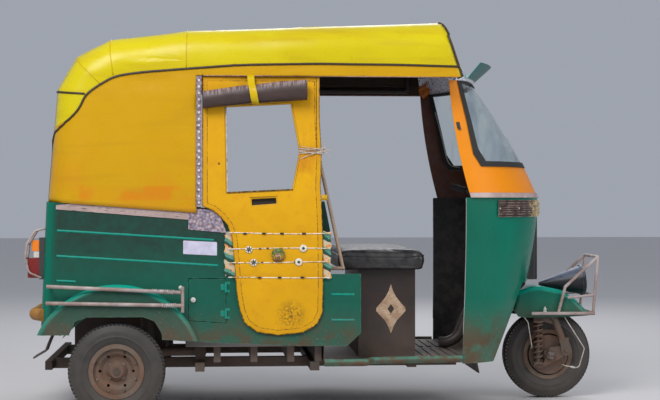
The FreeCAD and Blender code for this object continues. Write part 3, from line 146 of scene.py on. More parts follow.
def rescale(tree, value, low, high, to_low=0.0, to_high=1.0):
    """A value read on one range and given on another, clamped."""
    return node(tree, "ShaderNodeMapRange", {0: value, 1: low, 2: high, 3: to_low, 4: to_high},
                clamp=True).outputs[0]


def place_of(tree):
    """The point being shaded, in metres."""
    return node(tree, "ShaderNodeTexCoord").outputs["Object"]


def axes(tree, what=None):
    """X, Y and Z of a vector, or of the point being shaded."""
    return node(tree, "ShaderNodeSeparateXYZ", {0: what or place_of(tree)}).outputs


def normal_of(tree):
    return node(tree, "ShaderNodeNewGeometry").outputs["Normal"]


def finish(tree, colour, rough):
    """Gives the shader its colour and its roughness, each a socket or a plain value."""
    for label, value in (("Base Color", colour), ("Roughness", rough)):
        if isinstance(value, bpy.types.NodeSocket):
            tree.links.new(value, inputs_of(tree)[label])
        else:
            inputs_of(tree)[label].default_value = value


floor_mesh = bpy.data.meshes.new("floor")
floor_mesh.from_pydata([(-30, -30, 0), (30, -30, 0), (30, 30, 0), (-30, 30, 0)], [], [(0, 1, 2, 3)])
floor = bpy.data.objects.new("floor", floor_mesh)
scene.collection.objects.link(floor)
pale, tree = blank_material("pale_floor")
cloud = node(tree, "ShaderNodeTexNoise", {"Scale": 0.9, "Detail": 3.0})
finish(tree, mix_colour(tree, cloud.outputs[0], (0.60, 0.58, 0.58), (0.66, 0.64, 0.64)), 0.75)
floor.data.materials.append(pale)
floor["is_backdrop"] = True


# Tyres

# Three 4.00-8 cross-ply tyres in black rubber. The sidewalls are moulded with
# raised rings and a scuff rib, the crown with rows of blocks, and road dust
# lies in everything that doesn't touch the road.
def shader_group(name, inputs, outputs):
    """An empty shader node group with named sockets, and its two end nodes."""
    tree = bpy.data.node_groups.new(name, "ShaderNodeTree")
    for label, kind, value in inputs:
        socket = tree.interface.new_socket(name=label, in_out="INPUT", socket_type=kind)
        socket.default_value = value
    for label, kind in outputs:
        tree.interface.new_socket(name=label, in_out="OUTPUT", socket_type=kind)
    return tree, tree.nodes.new("NodeGroupInput").outputs, tree.nodes.new("NodeGroupOutput").inputs


def use(tree, group, **values):
    """Places a shader group; underscores in the names stand for spaces."""
    n = tree.nodes.new("ShaderNodeGroup")
    n.node_tree = group
    for key, value in values.items():
        label = key.replace("_", " ")
        if isinstance(value, bpy.types.NodeSocket):
            tree.links.new(value, n.inputs[label])
        else:
            n.inputs[label].default_value = value
    return n.outputs


# Cloudy variation over a surface: 0 to 1 round a middle of one half.
CLOUDS, given, out = shader_group(
    "cloudy patches",
    [("Scale", "NodeSocketFloat", 5.0), ("Detail", "NodeSocketFloat", 4.0),
     ("Contrast", "NodeSocketFloat", 1.0)],
    [("Value", "NodeSocketFloat")])
where = node(CLOUDS, "ShaderNodeTexCoord")
cloud = node(CLOUDS, "ShaderNodeTexNoise", {"Vector": where.outputs["Object"], "Scale": given["Scale"],
                                            "Detail": given["Detail"], "Roughness": 0.6})
centred = sum_of(CLOUDS, "SUBTRACT", cloud.outputs[0], 0.5)
spread = sum_of(CLOUDS, "MULTIPLY", centred, given["Contrast"])
n = node(CLOUDS, "ShaderNodeMath", {0: spread, 1: 0.5}, operation="ADD", use_clamp=True)
CLOUDS.links.new(n.outputs[0], out["Value"])

# Road dirt: strongest at the ground, gone at the height Top, broken up by noise.
ROAD_DIRT, given, out = shader_group(
    "road dirt",
    [("Top", "NodeSocketFloat", 0.6), ("Foot", "NodeSocketFloat", 0.1), ("Amount", "NodeSocketFloat", 0.7),
     ("Scale", "NodeSocketFloat", 14.0)],
    [("Mask", "NodeSocketFloat"), ("Speckle", "NodeSocketFloat")])
where = node(ROAD_DIRT, "ShaderNodeTexCoord")
height = node(ROAD_DIRT, "ShaderNodeSeparateXYZ", {0: where.outputs["Object"]}).outputs[2]
cloud = node(ROAD_DIRT, "ShaderNodeTexNoise", {"Vector": where.outputs["Object"], "Scale": given["Scale"],
                                               "Detail": 6.0, "Roughness": 0.65})
fine = node(ROAD_DIRT, "ShaderNodeTexNoise", {"Vector": where.outputs["Object"], "Scale": 90.0,
                                              "Detail": 3.0})
ramp = node(ROAD_DIRT, "ShaderNodeMapRange", {0: height, 1: given["Foot"], 2: given["Top"], 3: 1.0, 4: 0.0})
uneven = sum_of(ROAD_DIRT, "MULTIPLY", cloud.outputs[0], 1.7)
n = node(ROAD_DIRT, "ShaderNodeMath", {0: sum_of(ROAD_DIRT, "MULTIPLY", ramp.outputs[0], uneven),
                                       1: given["Amount"]},
         operation="MULTIPLY", use_clamp=True)
ROAD_DIRT.links.new(n.outputs[0], out["Mask"])
dots = rescale(ROAD_DIRT, fine.outputs[0], 0.62, 0.72)
ROAD_DIRT.links.new(sum_of(ROAD_DIRT, "MULTIPLY", dots, ramp.outputs[0]), out["Speckle"])

# Edges, for worn paint and for painted highlights: where a rounded normal leaves the true one, broken up by
# noise.
EDGE_WEAR_AND_HIGHLIGHT, given, out = shader_group(
    "worn edges",
    [("Radius", "NodeSocketFloat", 0.004), ("Amount", "NodeSocketFloat", 1.0),
     ("Scale", "NodeSocketFloat", 30.0)],
    [("Mask", "NodeSocketFloat")])
round_over = node(EDGE_WEAR_AND_HIGHLIGHT, "ShaderNodeBevel", {"Radius": given["Radius"]}, samples=4)
flat = node(EDGE_WEAR_AND_HIGHLIGHT, "ShaderNodeNewGeometry")
dot = node(EDGE_WEAR_AND_HIGHLIGHT, "ShaderNodeVectorMath", {0: round_over.outputs[0], 1: flat.outputs["Normal"]},
           operation="DOT_PRODUCT")
bent = rescale(EDGE_WEAR_AND_HIGHLIGHT, dot.outputs["Value"], 0.97, 0.80)
where = node(EDGE_WEAR_AND_HIGHLIGHT, "ShaderNodeTexCoord")
cloud = node(EDGE_WEAR_AND_HIGHLIGHT, "ShaderNodeTexNoise", {"Vector": where.outputs["Object"], "Scale": given["Scale"],
                                               "Detail": 5.0})
chips = rescale(EDGE_WEAR_AND_HIGHLIGHT, cloud.outputs[0], 0.40, 0.58)
n = node(EDGE_WEAR_AND_HIGHLIGHT, "ShaderNodeMath", {0: sum_of(EDGE_WEAR_AND_HIGHLIGHT, "MULTIPLY", bent, chips), 1: given["Amount"]},
         operation="MULTIPLY", use_clamp=True)
EDGE_WEAR_AND_HIGHLIGHT.links.new(n.outputs[0], out["Mask"])


def clouds(tree, scale, contrast=1.0, detail=4.0):
    return use(tree, CLOUDS, Scale=scale, Contrast=contrast, Detail=detail)["Value"]


def rough_bump(tree, height, strength, distance=0.001):
    n = node(tree, "ShaderNodeBump", {"Height": height, "Strength": strength, "Distance": distance})
    tree.links.new(n.outputs[0], inputs_of(tree)["Normal"])


def mottled(name, cloud, dark, light, rough, bump=0.0, distance=0.001, metal=0.0):
    """A finish that drifts between two colours in patches of a given scale, contrast and detail."""
    material, tree = blank_material(name)
    patches = clouds(tree, *cloud)
    finish(tree, mix_colour(tree, patches, dark, light), rough)
    inputs_of(tree)["Metallic"].default_value = metal
    if bump:
        rough_bump(tree, patches, bump, distance)
    return material


DUST = (0.26, 0.19, 0.14)
RUST = (0.14, 0.052, 0.022)

rubber_tyre, tree = blank_material("tyre_rubber")
dirt = use(tree, ROAD_DIRT, Top=0.62, Foot=0.0, Amount=0.55, Scale=18.0)
patches = clouds(tree, 30.0, 1.6)
tone = mix_colour(tree, patches, (0.012, 0.012, 0.012), (0.030, 0.028, 0.027))
tone = mix_colour(tree, dirt["Mask"], tone, (0.105, 0.085, 0.070))
finish(tree, tone, rescale(tree, dirt["Mask"], 0, 1, 0.55, 0.92))
rough_bump(tree, patches, 0.35)


def new_object(name, mesh):
    piece = bpy.data.objects.new(name, mesh)
    scene.collection.objects.link(piece)
    return piece


def from_bmesh(name, bm, material=None, smooth=True):
    """Closes a bmesh into an object, with its normals outward and shaded smooth."""
    bmesh.ops.recalc_face_normals(bm, faces=bm.faces)
    mesh = bpy.data.meshes.new(name)
    bm.to_mesh(mesh)
    bm.free()
    for face in mesh.polygons:
        face.use_smooth = smooth
    if material:
        mesh.materials.append(material)
    return new_object(name, mesh)


def fixed(piece, body="root"):
    """Declares what a piece is part of and what it rides on."""
    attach(piece, body)
    return piece


def bridge(bm, rings, closed=False):
    """Faces between each ring and the next, and from the last to the first where closed."""
    for a, b in zip(rings, rings[1:] + rings[:1] * closed):
        for k in range(len(a)):
            j = (k + 1) % len(a)
            bm.faces.new((a[k], a[j], b[j], b[k]))


def capped(bm, rings):
    """A solid through a row of rings, with a face over each end."""
    bridge(bm, rings)
    bm.faces.new(rings[0])
    bm.faces.new(rings[-1])


def circle(radius, count, start=0.0):
    """Points round a circle, as pairs."""
    angles = [start + 2 * pi * k / count for k in range(count)]
    return [(radius * cos(a), radius * sin(a)) for a in angles]


WHEEL_R = 0.208
TYRE_PROFILE = (             # half section from the crown to the bead: y, radius
    (0.0, 0.2015), (0.020, 0.2010), (0.034, 0.1990), (0.0405, 0.1968), (0.0420, 0.1935), (0.0470, 0.1860),
    (0.0512, 0.1760), (0.0522, 0.1745), (0.0522, 0.1715), (0.0530, 0.1690), (0.0533, 0.1600),
    (0.0528, 0.1520),
    (0.0535, 0.1508), (0.0535, 0.1478), (0.0522, 0.1468), (0.0505, 0.1400), (0.0478, 0.1320),
    (0.0445, 0.1240),
    (0.0425, 0.1195), (0.0420, 0.1160), (0.0418, 0.1050), (0.0380, 0.1036), (0.0340, 0.1036),
    (0.0380, 0.1300),
    (0.0440, 0.1560), (0.0400, 0.1800), (0.0300, 0.1900), (0.0, 0.1925),
)

bm = bmesh.new()
section = TYRE_PROFILE + tuple((-y, r) for y, r in reversed(TYRE_PROFILE[1:-1]))
bridge(bm, [[bm.verts.new((r * u, y, r * w)) for y, r in section] for u, w in circle(1.0, 96)], closed=True)
carcass = from_bmesh("tyre_carcass", bm, rubber_tyre)
carcass.data.set_sharp_from_angle(angle=radians(40))


def tread_tree():
    """Rows of blocks set round a circle, each row with its own offset and skew."""
    tree = bpy.data.node_groups.new("tread blocks", "GeometryNodeTree")
    face = tree.interface
    face.new_socket(name="Geometry", in_out="INPUT", socket_type="NodeSocketGeometry")
    for label, value in (("Radius", 0.2045), ("Length", 0.0095), ("Width", 0.010), ("Height", 0.009),
                         ("Offset", 0.0),
                         ("Skew", 0.0), ("Start", 0.0)):
        face.new_socket(name=label, in_out="INPUT", socket_type="NodeSocketFloat").default_value = value
    face.new_socket(name="Count", in_out="INPUT", socket_type="NodeSocketInt").default_value = 60
    face.new_socket(name="Material", in_out="INPUT", socket_type="NodeSocketMaterial")
    face.new_socket(name="Geometry", in_out="OUTPUT", socket_type="NodeSocketGeometry")
    given = tree.nodes.new("NodeGroupInput").outputs
    ring = node(tree, "GeometryNodeMeshCircle", {"Vertices": given["Count"], "Radius": given["Radius"]})
    turn = node(tree, "GeometryNodeTransform", {"Geometry": ring.outputs[0], "Rotation": (pi / 2, 0, 0)})
    size = node(tree, "ShaderNodeCombineXYZ", {0: given["Length"], 1: given["Width"], 2: given["Height"]})
    block = node(tree, "GeometryNodeMeshCube", {"Size": size.outputs[0]})
    index = node(tree, "GeometryNodeInputIndex")
    share = node(tree, "ShaderNodeMath", {0: index.outputs[0], 1: given["Count"]}, operation="DIVIDE")
    angle = node(tree, "ShaderNodeMath", {0: share.outputs[0], 1: -2 * pi, 2: pi / 2},
                 operation="MULTIPLY_ADD")
    spin = node(tree, "ShaderNodeCombineXYZ", {1: angle.outputs[0]})
    tilt = node(tree, "ShaderNodeCombineXYZ", {2: given["Skew"]})
    facing = node(tree, "FunctionNodeEulerToRotation", {0: spin.outputs[0]})
    skewed = node(tree, "FunctionNodeEulerToRotation", {0: tilt.outputs[0]})
    both = node(tree, "FunctionNodeRotateRotation", {0: facing.outputs[0], 1: skewed.outputs[0]},
                rotation_space="LOCAL")
    placed = node(tree, "GeometryNodeInstanceOnPoints", {"Points": turn.outputs[0],
                                                         "Instance": block.outputs[0],
                                                         "Rotation": both.outputs[0]})
    start = node(tree, "ShaderNodeCombineXYZ", {1: given["Start"]})
    shift = node(tree, "ShaderNodeCombineXYZ", {1: given["Offset"]})
    moved = node(tree, "GeometryNodeTransform", {"Geometry": placed.outputs[0],
                                                 "Translation": shift.outputs[0],
                                                 "Rotation": start.outputs[0]})
    real = node(tree, "GeometryNodeRealizeInstances", {"Geometry": moved.outputs[0]})
    worn = node(tree, "GeometryNodeSetMaterial", {"Geometry": real.outputs[0], "Material": given["Material"]})
    tree.links.new(worn.outputs[0], tree.nodes.new("NodeGroupOutput").inputs[0])
    return tree


def run_tree(name, tree, values, start=None):
    """Runs a geometry tree on a mesh, or on nothing, and keeps the result as a plain mesh."""
    holder = new_object(name, start or bpy.data.meshes.new(name))
    step = holder.modifiers.new("make", "NODES")
    step.node_group = tree
    for item in tree.interface.items_tree:
        if item.item_type == "SOCKET" and item.in_out == "INPUT" and item.name in values:
            step[item.identifier] = values[item.name]
    bpy.context.view_layer.update()
    ready = holder.evaluated_get(bpy.context.evaluated_depsgraph_get())
    mesh = bpy.data.meshes.new_from_object(ready)
    mesh.name = name
    bpy.data.objects.remove(holder)
    return new_object(name, mesh)


WHEELS = (                   # name, body, hub x and y, and the side on which the nuts are
    ("front", "front_wheel", 1.085, 0.0, 1),
    ("rear_right", "rear_wheel_right", -0.915, -0.575, -1),
    ("rear_left", "rear_wheel_left", -0.915, 0.575, 1),
)
NODE_OF = {"front": "front_tyre", "rear_right": "rear_tyre_right", "rear_left": "rear_tyre_left"}
blocks = tread_tree()
rows = []
for label, offset, width, length, skew, start in (
        ("centre", 0.0, 0.013, 0.0130, 0.0, 0.0), ("inner_a", 0.0165, 0.011, 0.0125, 0.45, 0.05),
        ("inner_b", -0.0165, 0.011, 0.0125, -0.45, 0.05), ("outer_a", 0.0320, 0.015, 0.0120, -0.25, 0.0),
        ("outer_b", -0.0320, 0.015, 0.0120, 0.25, 0.0)):
    drop = 0.0 if abs(offset) < 0.02 else 0.0035
    rows.append(run_tree("tread_" + label, blocks, {
        "Radius": 0.2032 - drop, "Length": length, "Width": width, "Height": 0.0085, "Offset": offset,
        "Skew": skew, "Start": start, "Count": 72, "Material": rubber_tyre}))
bpy.ops.object.select_all(action="DESELECT")
for piece in [carcass] + rows:
    piece.select_set(True)
bpy.context.view_layer.objects.active = carcass
bpy.ops.object.join()
for label, body, x, y, _ in WHEELS:
    fitted = new_object("tyre_" + label, carcass.data.copy())
    fitted.data.transform(Matrix.Translation((x, y, WHEEL_R)))
    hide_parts(NODE_OF[label])
    fixed(fitted, body)
bpy.data.objects.remove(carcass)


# Wheels

# Pressed split rims on cast hubs, once painted dark grey, now brown with rust
# and baked road dust. Four nuts hold each disc, and eight small bolts the rim.
def dress(names, material):
    """Gives CAD nodes their finish."""
    for name in names:
        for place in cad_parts[name].material_slots:
            place.material = material


def painted_steel(name, colour, rough, dirt_top, dirt, rust, wear, under=(0.10, 0.09, 0.085), patch=0.35):
    """Enamel on steel: cloudy tone, road dirt from below, rust in patches and worn edges."""
    material, tree = blank_material(name)
    patches = clouds(tree, 3.0, 1.4)
    small = clouds(tree, 42.0, 2.2)
    dirty = use(tree, ROAD_DIRT, Top=dirt_top, Foot=0.12, Amount=dirt, Scale=11.0)
    edges = use(tree, EDGE_WEAR_AND_HIGHLIGHT, Amount=wear, Radius=0.0035, Scale=38.0)
    darker = tuple(c * (1 - patch) for c in colour)
    tone = mix_colour(tree, patches, darker, colour)
    tone = mix_colour(tree, dirty["Mask"], tone, DUST)
    spots = clouds(tree, 9.0, 5.0, 9.0)
    eaten = times(tree, spots, rust)
    tone = mix_colour(tree, eaten, tone, RUST)
    tone = mix_colour(tree, edges["Mask"], tone, under)
    tree.links.new(tone, inputs_of(tree)["Base Color"])
    matt = sum_of(tree, "MAXIMUM", dirty["Mask"], eaten)
    tree.links.new(rescale(tree, matt, 0, 1, rough, 0.85), inputs_of(tree)["Roughness"])
    rough_bump(tree, times(tree, small, plus(tree, matt, 0.15)), 0.30, 0.0008)
    return material


wheel_paint = painted_steel("rusty_wheel_paint", (0.075, 0.050, 0.036), 0.6, 1.2, 0.5, 0.55, 0.7,
                            (0.20, 0.13, 0.09))
dress(["front_rim", "rear_rim_right", "rear_rim_left"], wheel_paint)


def hexagon(bm, at, r, y0, y1):
    """A nut lying along Y, with its outer face chamfered."""
    capped(bm, [[bm.verts.new((at[0] + u, at[1] + y, at[2] + w)) for u, w in circle(r * k, 6)]
                for y, k in ((y0, 1.0), (y0 + (y1 - y0) * 0.8, 1.0), (y1, 0.86))])


worn_steel, tree = blank_material("worn_steel")
patches = clouds(tree, 60.0, 3.0)
finish(tree, mix_colour(tree, patches, (0.07, 0.045, 0.032), (0.30, 0.27, 0.25)),
       rescale(tree, patches, 0, 1, 0.75, 0.35))
inputs_of(tree)["Metallic"].default_value = 0.7
for label, body, x, y, o in WHEELS:
    bm = bmesh.new()
    for u, w in circle(0.038, 4, radians(45)):
        hexagon(bm, (x + u, y, WHEEL_R + w), 0.0095, o * 0.0075, o * 0.0145)
    for u, w in circle(0.088, 8, radians(22.5)):
        hexagon(bm, (x + u, y, WHEEL_R + w), 0.0055, o * 0.027, o * 0.0325)
    nuts = from_bmesh("wheel_nuts_" + label, bm, worn_steel, smooth=False)
    fixed(nuts, body)


# Underbody

# Box-section rails, cross members, trailing arms and drive shafts, all in black
# chassis paint long covered by mud and rust. The engine is a plain cast block.
chassis_paint = painted_steel("muddy_chassis_paint", (0.018, 0.016, 0.015), 0.6, 0.7, 0.35, 0.25, 0.3,
                              (0.08, 0.05, 0.04))
dress(["chassis", "trailing_arms", "rear_springs", "wheel_liners", "engine_block"], chassis_paint)
inner_paint = painted_steel("dark_floor_paint", (0.030, 0.028, 0.028), 0.55, 0.6, 0.5, 0.2, 0.5)
dress(["cabin_floor", "driver_floor", "canopy_frame"], inner_paint)
flap_rubber, tree = blank_material("flap_rubber")
dirty = use(tree, ROAD_DIRT, Top=0.6, Foot=0.0, Amount=0.35, Scale=20.0)
finish(tree, mix_colour(tree, dirty["Mask"], (0.016, 0.015, 0.015), DUST), 0.7)
dress(["mud_flaps"], flap_rubber)


# Steel tub

# The rear tub is pressed from 1 mm sheet with rolled beads, spot-welded at the
# rear corners and sprayed green. Its rounded edges, beads and upward faces get a
# painted highlight in pale teal; the faces turned to the side get painted shade,
# a dull grey-green film that also roughens them. Mud and rust creep up from the
# lower edge.
def green_enamel(name, side_shade_and_dullness, dirt_top, dirt, beads=0.0):
    material, tree = blank_material(name)
    broad = clouds(tree, 2.2, 1.5)
    small = clouds(tree, 26.0, 2.4, 8.0)
    tone = mix_colour(tree, broad, (0.001, 0.120, 0.074), (0.002, 0.190, 0.122))
    where = place_of(tree)
    flat = node(tree, "ShaderNodeNewGeometry")
    facing = axes(tree, normal_of(tree))
    sideways = sum_of(tree, "ABSOLUTE", facing[1])
    at = axes(tree)
    # Painted shade: faces turned to the side are mixed towards a dark grey-green film, which also makes them
    # rougher; where beads is set, there is less of it low on the tub
    film = times(tree, rescale(tree, sideways, 0.8, 1.0), side_shade_and_dullness)
    film = times(tree, film, rescale(tree, small, 0.1, 0.9, 0.80, 1.0))
    film = times(tree, film, rescale(tree, at[2], 0.58, 0.76, 1 - 0.5 * beads, 1.0))
    tone = mix_colour(tree, film, tone, (0.017, 0.028, 0.023))
    # Painted highlight: faces that look up are lightened to a bright teal
    tone = mix_colour(tree, rescale(tree, facing[2], 0.10, 0.65), tone, (0.003, 0.300, 0.215))
    # Painted highlight: the proud faces of the rolled beads are lightened to a bright teal
    proud_bead_highlight = rescale(tree, sum_of(tree, "ABSOLUTE", at[1]), 0.5906, 0.5920)
    tone = mix_colour(tree, times(tree, proud_bead_highlight, beads), tone, (0.006, 0.260, 0.190))
    dirty = use(tree, ROAD_DIRT, Top=dirt_top, Foot=0.22, Amount=dirt, Scale=7.0)
    tone = mix_colour(tree, dirty["Mask"], tone, (0.17, 0.115, 0.085))
    tone = mix_colour(tree, times(tree, dirty["Speckle"], 0.6), tone, (0.30, 0.24, 0.20))
    spots = clouds(tree, 12.0, 7.0, 10.0)
    low = rescale(tree, at[2], 0.46, 0.30)
    eaten = times(tree, spots, times(tree, low, 0.75))
    tone = mix_colour(tree, eaten, tone, (0.115, 0.048, 0.024))
    # Painted highlight: the rounded edges are lightened to a pale teal through the worn-edges mask
    edges = use(tree, EDGE_WEAR_AND_HIGHLIGHT, Amount=0.85, Radius=0.004, Scale=45.0)
    tone = mix_colour(tree, edges["Mask"], tone, (0.10, 0.28, 0.22))
    tree.links.new(tone, inputs_of(tree)["Base Color"])
    matt = sum_of(tree, "MAXIMUM", sum_of(tree, "MAXIMUM", film, dirty["Mask"]), eaten)
    tree.links.new(rescale(tree, matt, 0, 1, 0.22, 0.62), inputs_of(tree)["Roughness"])
    rough_bump(tree, times(tree, small, plus(tree, eaten, 0.10)), 0.25, 0.0012)
    inputs_of(tree)["Specular IOR Level"].default_value = 0.2
    return material


side_green = green_enamel("green_enamel_tub", 0.90, 0.50, 0.30, 0.85)
fender_green = green_enamel("green_enamel_fenders", 0.75, 0.56, 0.55)
front_green = green_enamel("green_enamel_front", 0.25, 0.50, 0.50)
dress(["side_right", "side_left", "rear_panel", "engine_hatch", "filler_flap"], side_green)
dress(["rear_fenders", "sills"], fender_green)
dress(["cowl_lower", "front_fender"], front_green)
orange_paint = painted_steel("orange_enamel", (0.86, 0.27, 0.003), 0.36, 0.2, 0.1, 0.04, 0.5,
                             (0.30, 0.13, 0.05),
                             patch=0.10)
orange_paint.node_tree.nodes["Principled BSDF"].inputs["Specular IOR Level"].default_value = 0.15
dress(["cowl_upper"], orange_paint)


def darken_inside(material, colour):
    """Gives the faces that look into the vehicle a darker colour, with pale scuffs."""
    tree = material.node_tree
    face = axes(tree, normal_of(tree))
    at = axes(tree)
    across = rescale(tree, times(tree, face[1], at[1]), -0.05, -0.15)
    back = times(tree, rescale(tree, face[0], -0.4, -0.7), rescale(tree, at[0], 0.63, 0.67))
    scuffs = clouds(tree, 24.0, 6.0, 9.0)
    tone = mix_colour(tree, times(tree, scuffs, 0.10), colour, (0.24, 0.20, 0.18))
    outside = inputs_of(tree)["Base Color"].links[0].from_socket
    tree.links.new(mix_colour(tree, sum_of(tree, "MAXIMUM", across, back), outside, tone),
                   inputs_of(tree)["Base Color"])


darken_inside(front_green, (0.024, 0.023, 0.023))
darken_inside(side_green, (0.030, 0.040, 0.036))
darken_inside(orange_paint, (0.110, 0.042, 0.028))
black_paint = painted_steel("black_enamel", (0.020, 0.020, 0.021), 0.38, 0.6, 0.4, 0.06, 0.5)
dress(["nose_shroud", "head_tube", "handlebar"], black_paint)
fork_paint = painted_steel("rusty_fork_paint", (0.060, 0.040, 0.030), 0.6, 0.6, 0.35, 0.5, 0.5,
                           (0.2, 0.13, 0.1))
dress(["fork", "front_link", "front_damper", "front_spring"], fork_paint)
bright_tube = painted_steel("worn_plated_tube", (0.50, 0.42, 0.40), 0.35, 0.5, 0.25, 0.55, 0.8,
                            (0.16, 0.09, 0.06))
dress(["front_guard", "side_guards", "lamp_guards"], bright_tube)
dress(["rear_bumper"], painted_steel("yellow_bumper_paint", (0.72, 0.33, 0.02), 0.5, 0.6, 0.35, 0.6, 0.9))
foil = painted_steel("worn_bright_strip", (0.58, 0.44, 0.41), 0.42, 0.3, 0.1, 0.35, 0.9, (0.12, 0.08, 0.07))
dress(["cowl_trim"], foil)
# The belt's strip is scuffed through in short dark strokes; its front end is a
# patch of crumpled bright foil, stuck on, its light and dark facets and bluish
# streaks painted reflections
scuffed_strip = painted_steel("scuffed_bright_strip", (0.56, 0.42, 0.39), 0.42, 0.3, 0.1, 0.20, 0.9,
                              (0.12, 0.08, 0.07))
tree = scuffed_strip.node_tree
where = place_of(tree)
at = axes(tree)
flatter = node(tree, "ShaderNodeMapping", {"Vector": where, "Rotation": (0, 0.12, 0),
                                           "Scale": (1.0, 1.0, 4.5)})
strokes = node(tree, "ShaderNodeTexNoise", {"Vector": flatter.outputs[0], "Scale": 42.0, "Detail": 7.0,
                                            "Distortion": 0.6})
tone = mix_colour(tree, rescale(tree, strokes.outputs[0], 0.60, 0.66, 0.0, 0.9),
                  inputs_of(tree)["Base Color"].links[0].from_socket,
                  (0.05, 0.035, 0.05))
crumple = node(tree, "ShaderNodeTexVoronoi", {"Vector": where, "Scale": 75.0}, feature="F1")
# Painted reflections: the foil's crumpled facets are painted light and dark, with bluish streaks
foil_reflections = mix_colour(tree, rescale(tree, crumple.outputs[0], 0.15, 0.75), (0.54, 0.40, 0.40), (0.13, 0.09, 0.13))
foil_reflections = mix_colour(tree, rescale(tree, strokes.outputs[0], 0.54, 0.60), foil_reflections, (0.20, 0.22, 0.33))
patch = rescale(tree, at[0], -0.6140, -0.6060)
tree.links.new(mix_colour(tree, patch, tone, foil_reflections), inputs_of(tree)["Base Color"])
rough_bump(tree, plus(tree, times(tree, crumple.outputs[0], patch), strokes.outputs[0]), 0.6, 0.003)
dress(["belt_trims"], scuffed_strip)
strip_metal, tree = blank_material("punched_mauve_strip")
where = place_of(tree)
at = axes(tree)
links = sum_of(tree, "FRACT", times(tree, at[2], 36.0))
spots = clouds(tree, 70.0, 4.0, 5.0)
tone = mix_colour(tree, spots, (0.13, 0.085, 0.11), (0.36, 0.30, 0.34))
pips = times(tree, rescale(tree, sum_of(tree, "ABSOLUTE", sum_of(tree, "SUBTRACT", links, 0.5)), 0.20, 0.10),
              rescale(tree, sum_of(tree, "ABSOLUTE", plus(tree, at[0], 0.5635)), 0.0055, 0.0035))
tone = mix_colour(tree, pips, tone, (0.66, 0.62, 0.66))
finish(tree, tone, 0.4)
rough_bump(tree, pips, 0.5, 0.002)
dress(["studded_strip"], strip_metal)
dress(["grips", "windscreen_gasket"], flap_rubber)
dress(["seat_base"], painted_steel("dark_brown_panel", (0.022, 0.014, 0.012), 0.45, 0.5, 0.4, 0.1, 0.6))
dress(["partition"], painted_steel("beige_enamel", (0.50, 0.36, 0.25), 0.45, 0.5, 0.2, 0.15, 0.6, patch=0.2))
clear, tree = blank_material("clear_glass")
inputs_of(tree)["Base Color"].default_value = (0.88, 0.94, 0.93, 1)
inputs_of(tree)["Transmission Weight"].default_value = 0.96
inputs_of(tree)["Roughness"].default_value = 0.02
inputs_of(tree)["IOR"].default_value = 1.1
dress(["windscreen", "headlamp_lens"], clear)


# Canopy

# The hood is coated cloth, yellow outside and brown inside, cut in panels,
# welted together over the roof bows and laced down to the tub. Dark brown
# piping covers the long seams, and the cloth sags a little between the bows.
HOOD_LINE = (                # side view of the hood on the centre line: x, z
    (-1.2190, 0.935), (-1.1780, 1.420), (-1.0930, 1.576), (-0.950, 1.660), (-0.616, 1.702), (0.498, 1.748),
)
HOOD_HEM = (                 # the lower edge of the side that each of those points runs down to
    (-0.5740, 0.886), (-0.574, 1.340), (-0.574, 1.440), (-0.5740, 1.4795), (-0.530, 1.4795), (0.584, 1.4795),
)
HOOD_R = 0.120
HOOD_LEAN = 0.32
HOOD_STEP = 0.02145         # along the roof, between two rows of points
ROOF_CURVE = 11.4            # the roof's camber: y squared over this
ROOF_TOP = 1.748
SIDE_PIPING = (              # seen from the side
    (-1.204, 1.236), (-1.178, 1.262), (-1.104, 1.298), (-1.068, 1.340), (-1.051, 1.394), (-1.039, 1.400),
    (-0.991, 1.436),
    (-0.920, 1.476), (-0.806, 1.492), (-0.615, 1.508), (-0.361, 1.528), (-0.053, 1.533), (0.306, 1.531),
    (0.565, 1.525),
)
REAR_WINDOW = (0.240, 1.185, 1.365)


def along(points, step):
    """Points set evenly along each run of a polyline, corners kept."""
    out = []
    for a, b in zip(points, points[1:]):
        a, b = Vector(a), Vector(b)
        count = max(1, round((b - a).length / step))
        out += [a.lerp(b, k / count) for k in range(count)]
    return out + [Vector(points[-1])]


def clamp(share):
    return min(1.0, max(0.0, share))


def ripple(x, y, z):
    return noise.noise(Vector((x, y, z)))


def side_half(z):
    return 0.601 - 0.011 * (z - 0.8) / 1.008


def camber(x, z):
    """How much of the roof's camber is left: all of it on top, none down the back."""
    return clamp((z - 1.43) / 0.22)


def polyline_distance(p, line):
    best = 9.0
    for a, b in zip(line, line[1:]):
        run = b - a
        t = clamp((p - a).dot(run) / run.length_squared)
        best = min(best, (p - a - run * t).length)
    return best


def above_piping(x, z):
    """Signed distance in side view to the piping: positive on the hood's side of it."""
    line = [Vector(p) for p in SIDE_PIPING]
    d = polyline_distance(Vector((x, z)), line)
    for a, b in zip(line, line[1:]):
        if a.x <= x <= b.x:
            limit = a.y + (b.y - a.y) * (x - a.x) / (b.x - a.x)
            return d if z > limit else -d
    return -d if x < 0 else d


def cloth_wave(x, y, z):
    """Slack between the bows and long shallow folds, in metres, inward negative."""
    sag = 0.0
    for a, b in ((-0.616, -0.05), (-0.05, 0.498), (-0.95, -0.616)):
        if a < x < b:
            sag -= 0.006 * sin(pi * (x - a) / (b - a)) ** 1.5
    fold = 0.0055 * ripple(x * 2.2, y * 3.0, z * 9.0)
    fold += 0.0022 * ripple(x * 6.0, y * 8.0 + 5, z * 17.0)
    top = clamp((z - 1.40) / 0.10)
    near = above_piping(x, z) if abs(y) > 0.4 else 0.3
    pinch = exp(-(near / 0.03) ** 2) * -0.003
    push = (sag + fold) * top + pinch * top + 0.0015 * ripple(x * 3, y * 3, z * 4)
    return max(push, -0.0022) if abs(y) > 0.55 and 1.47 < z < 1.545 else push


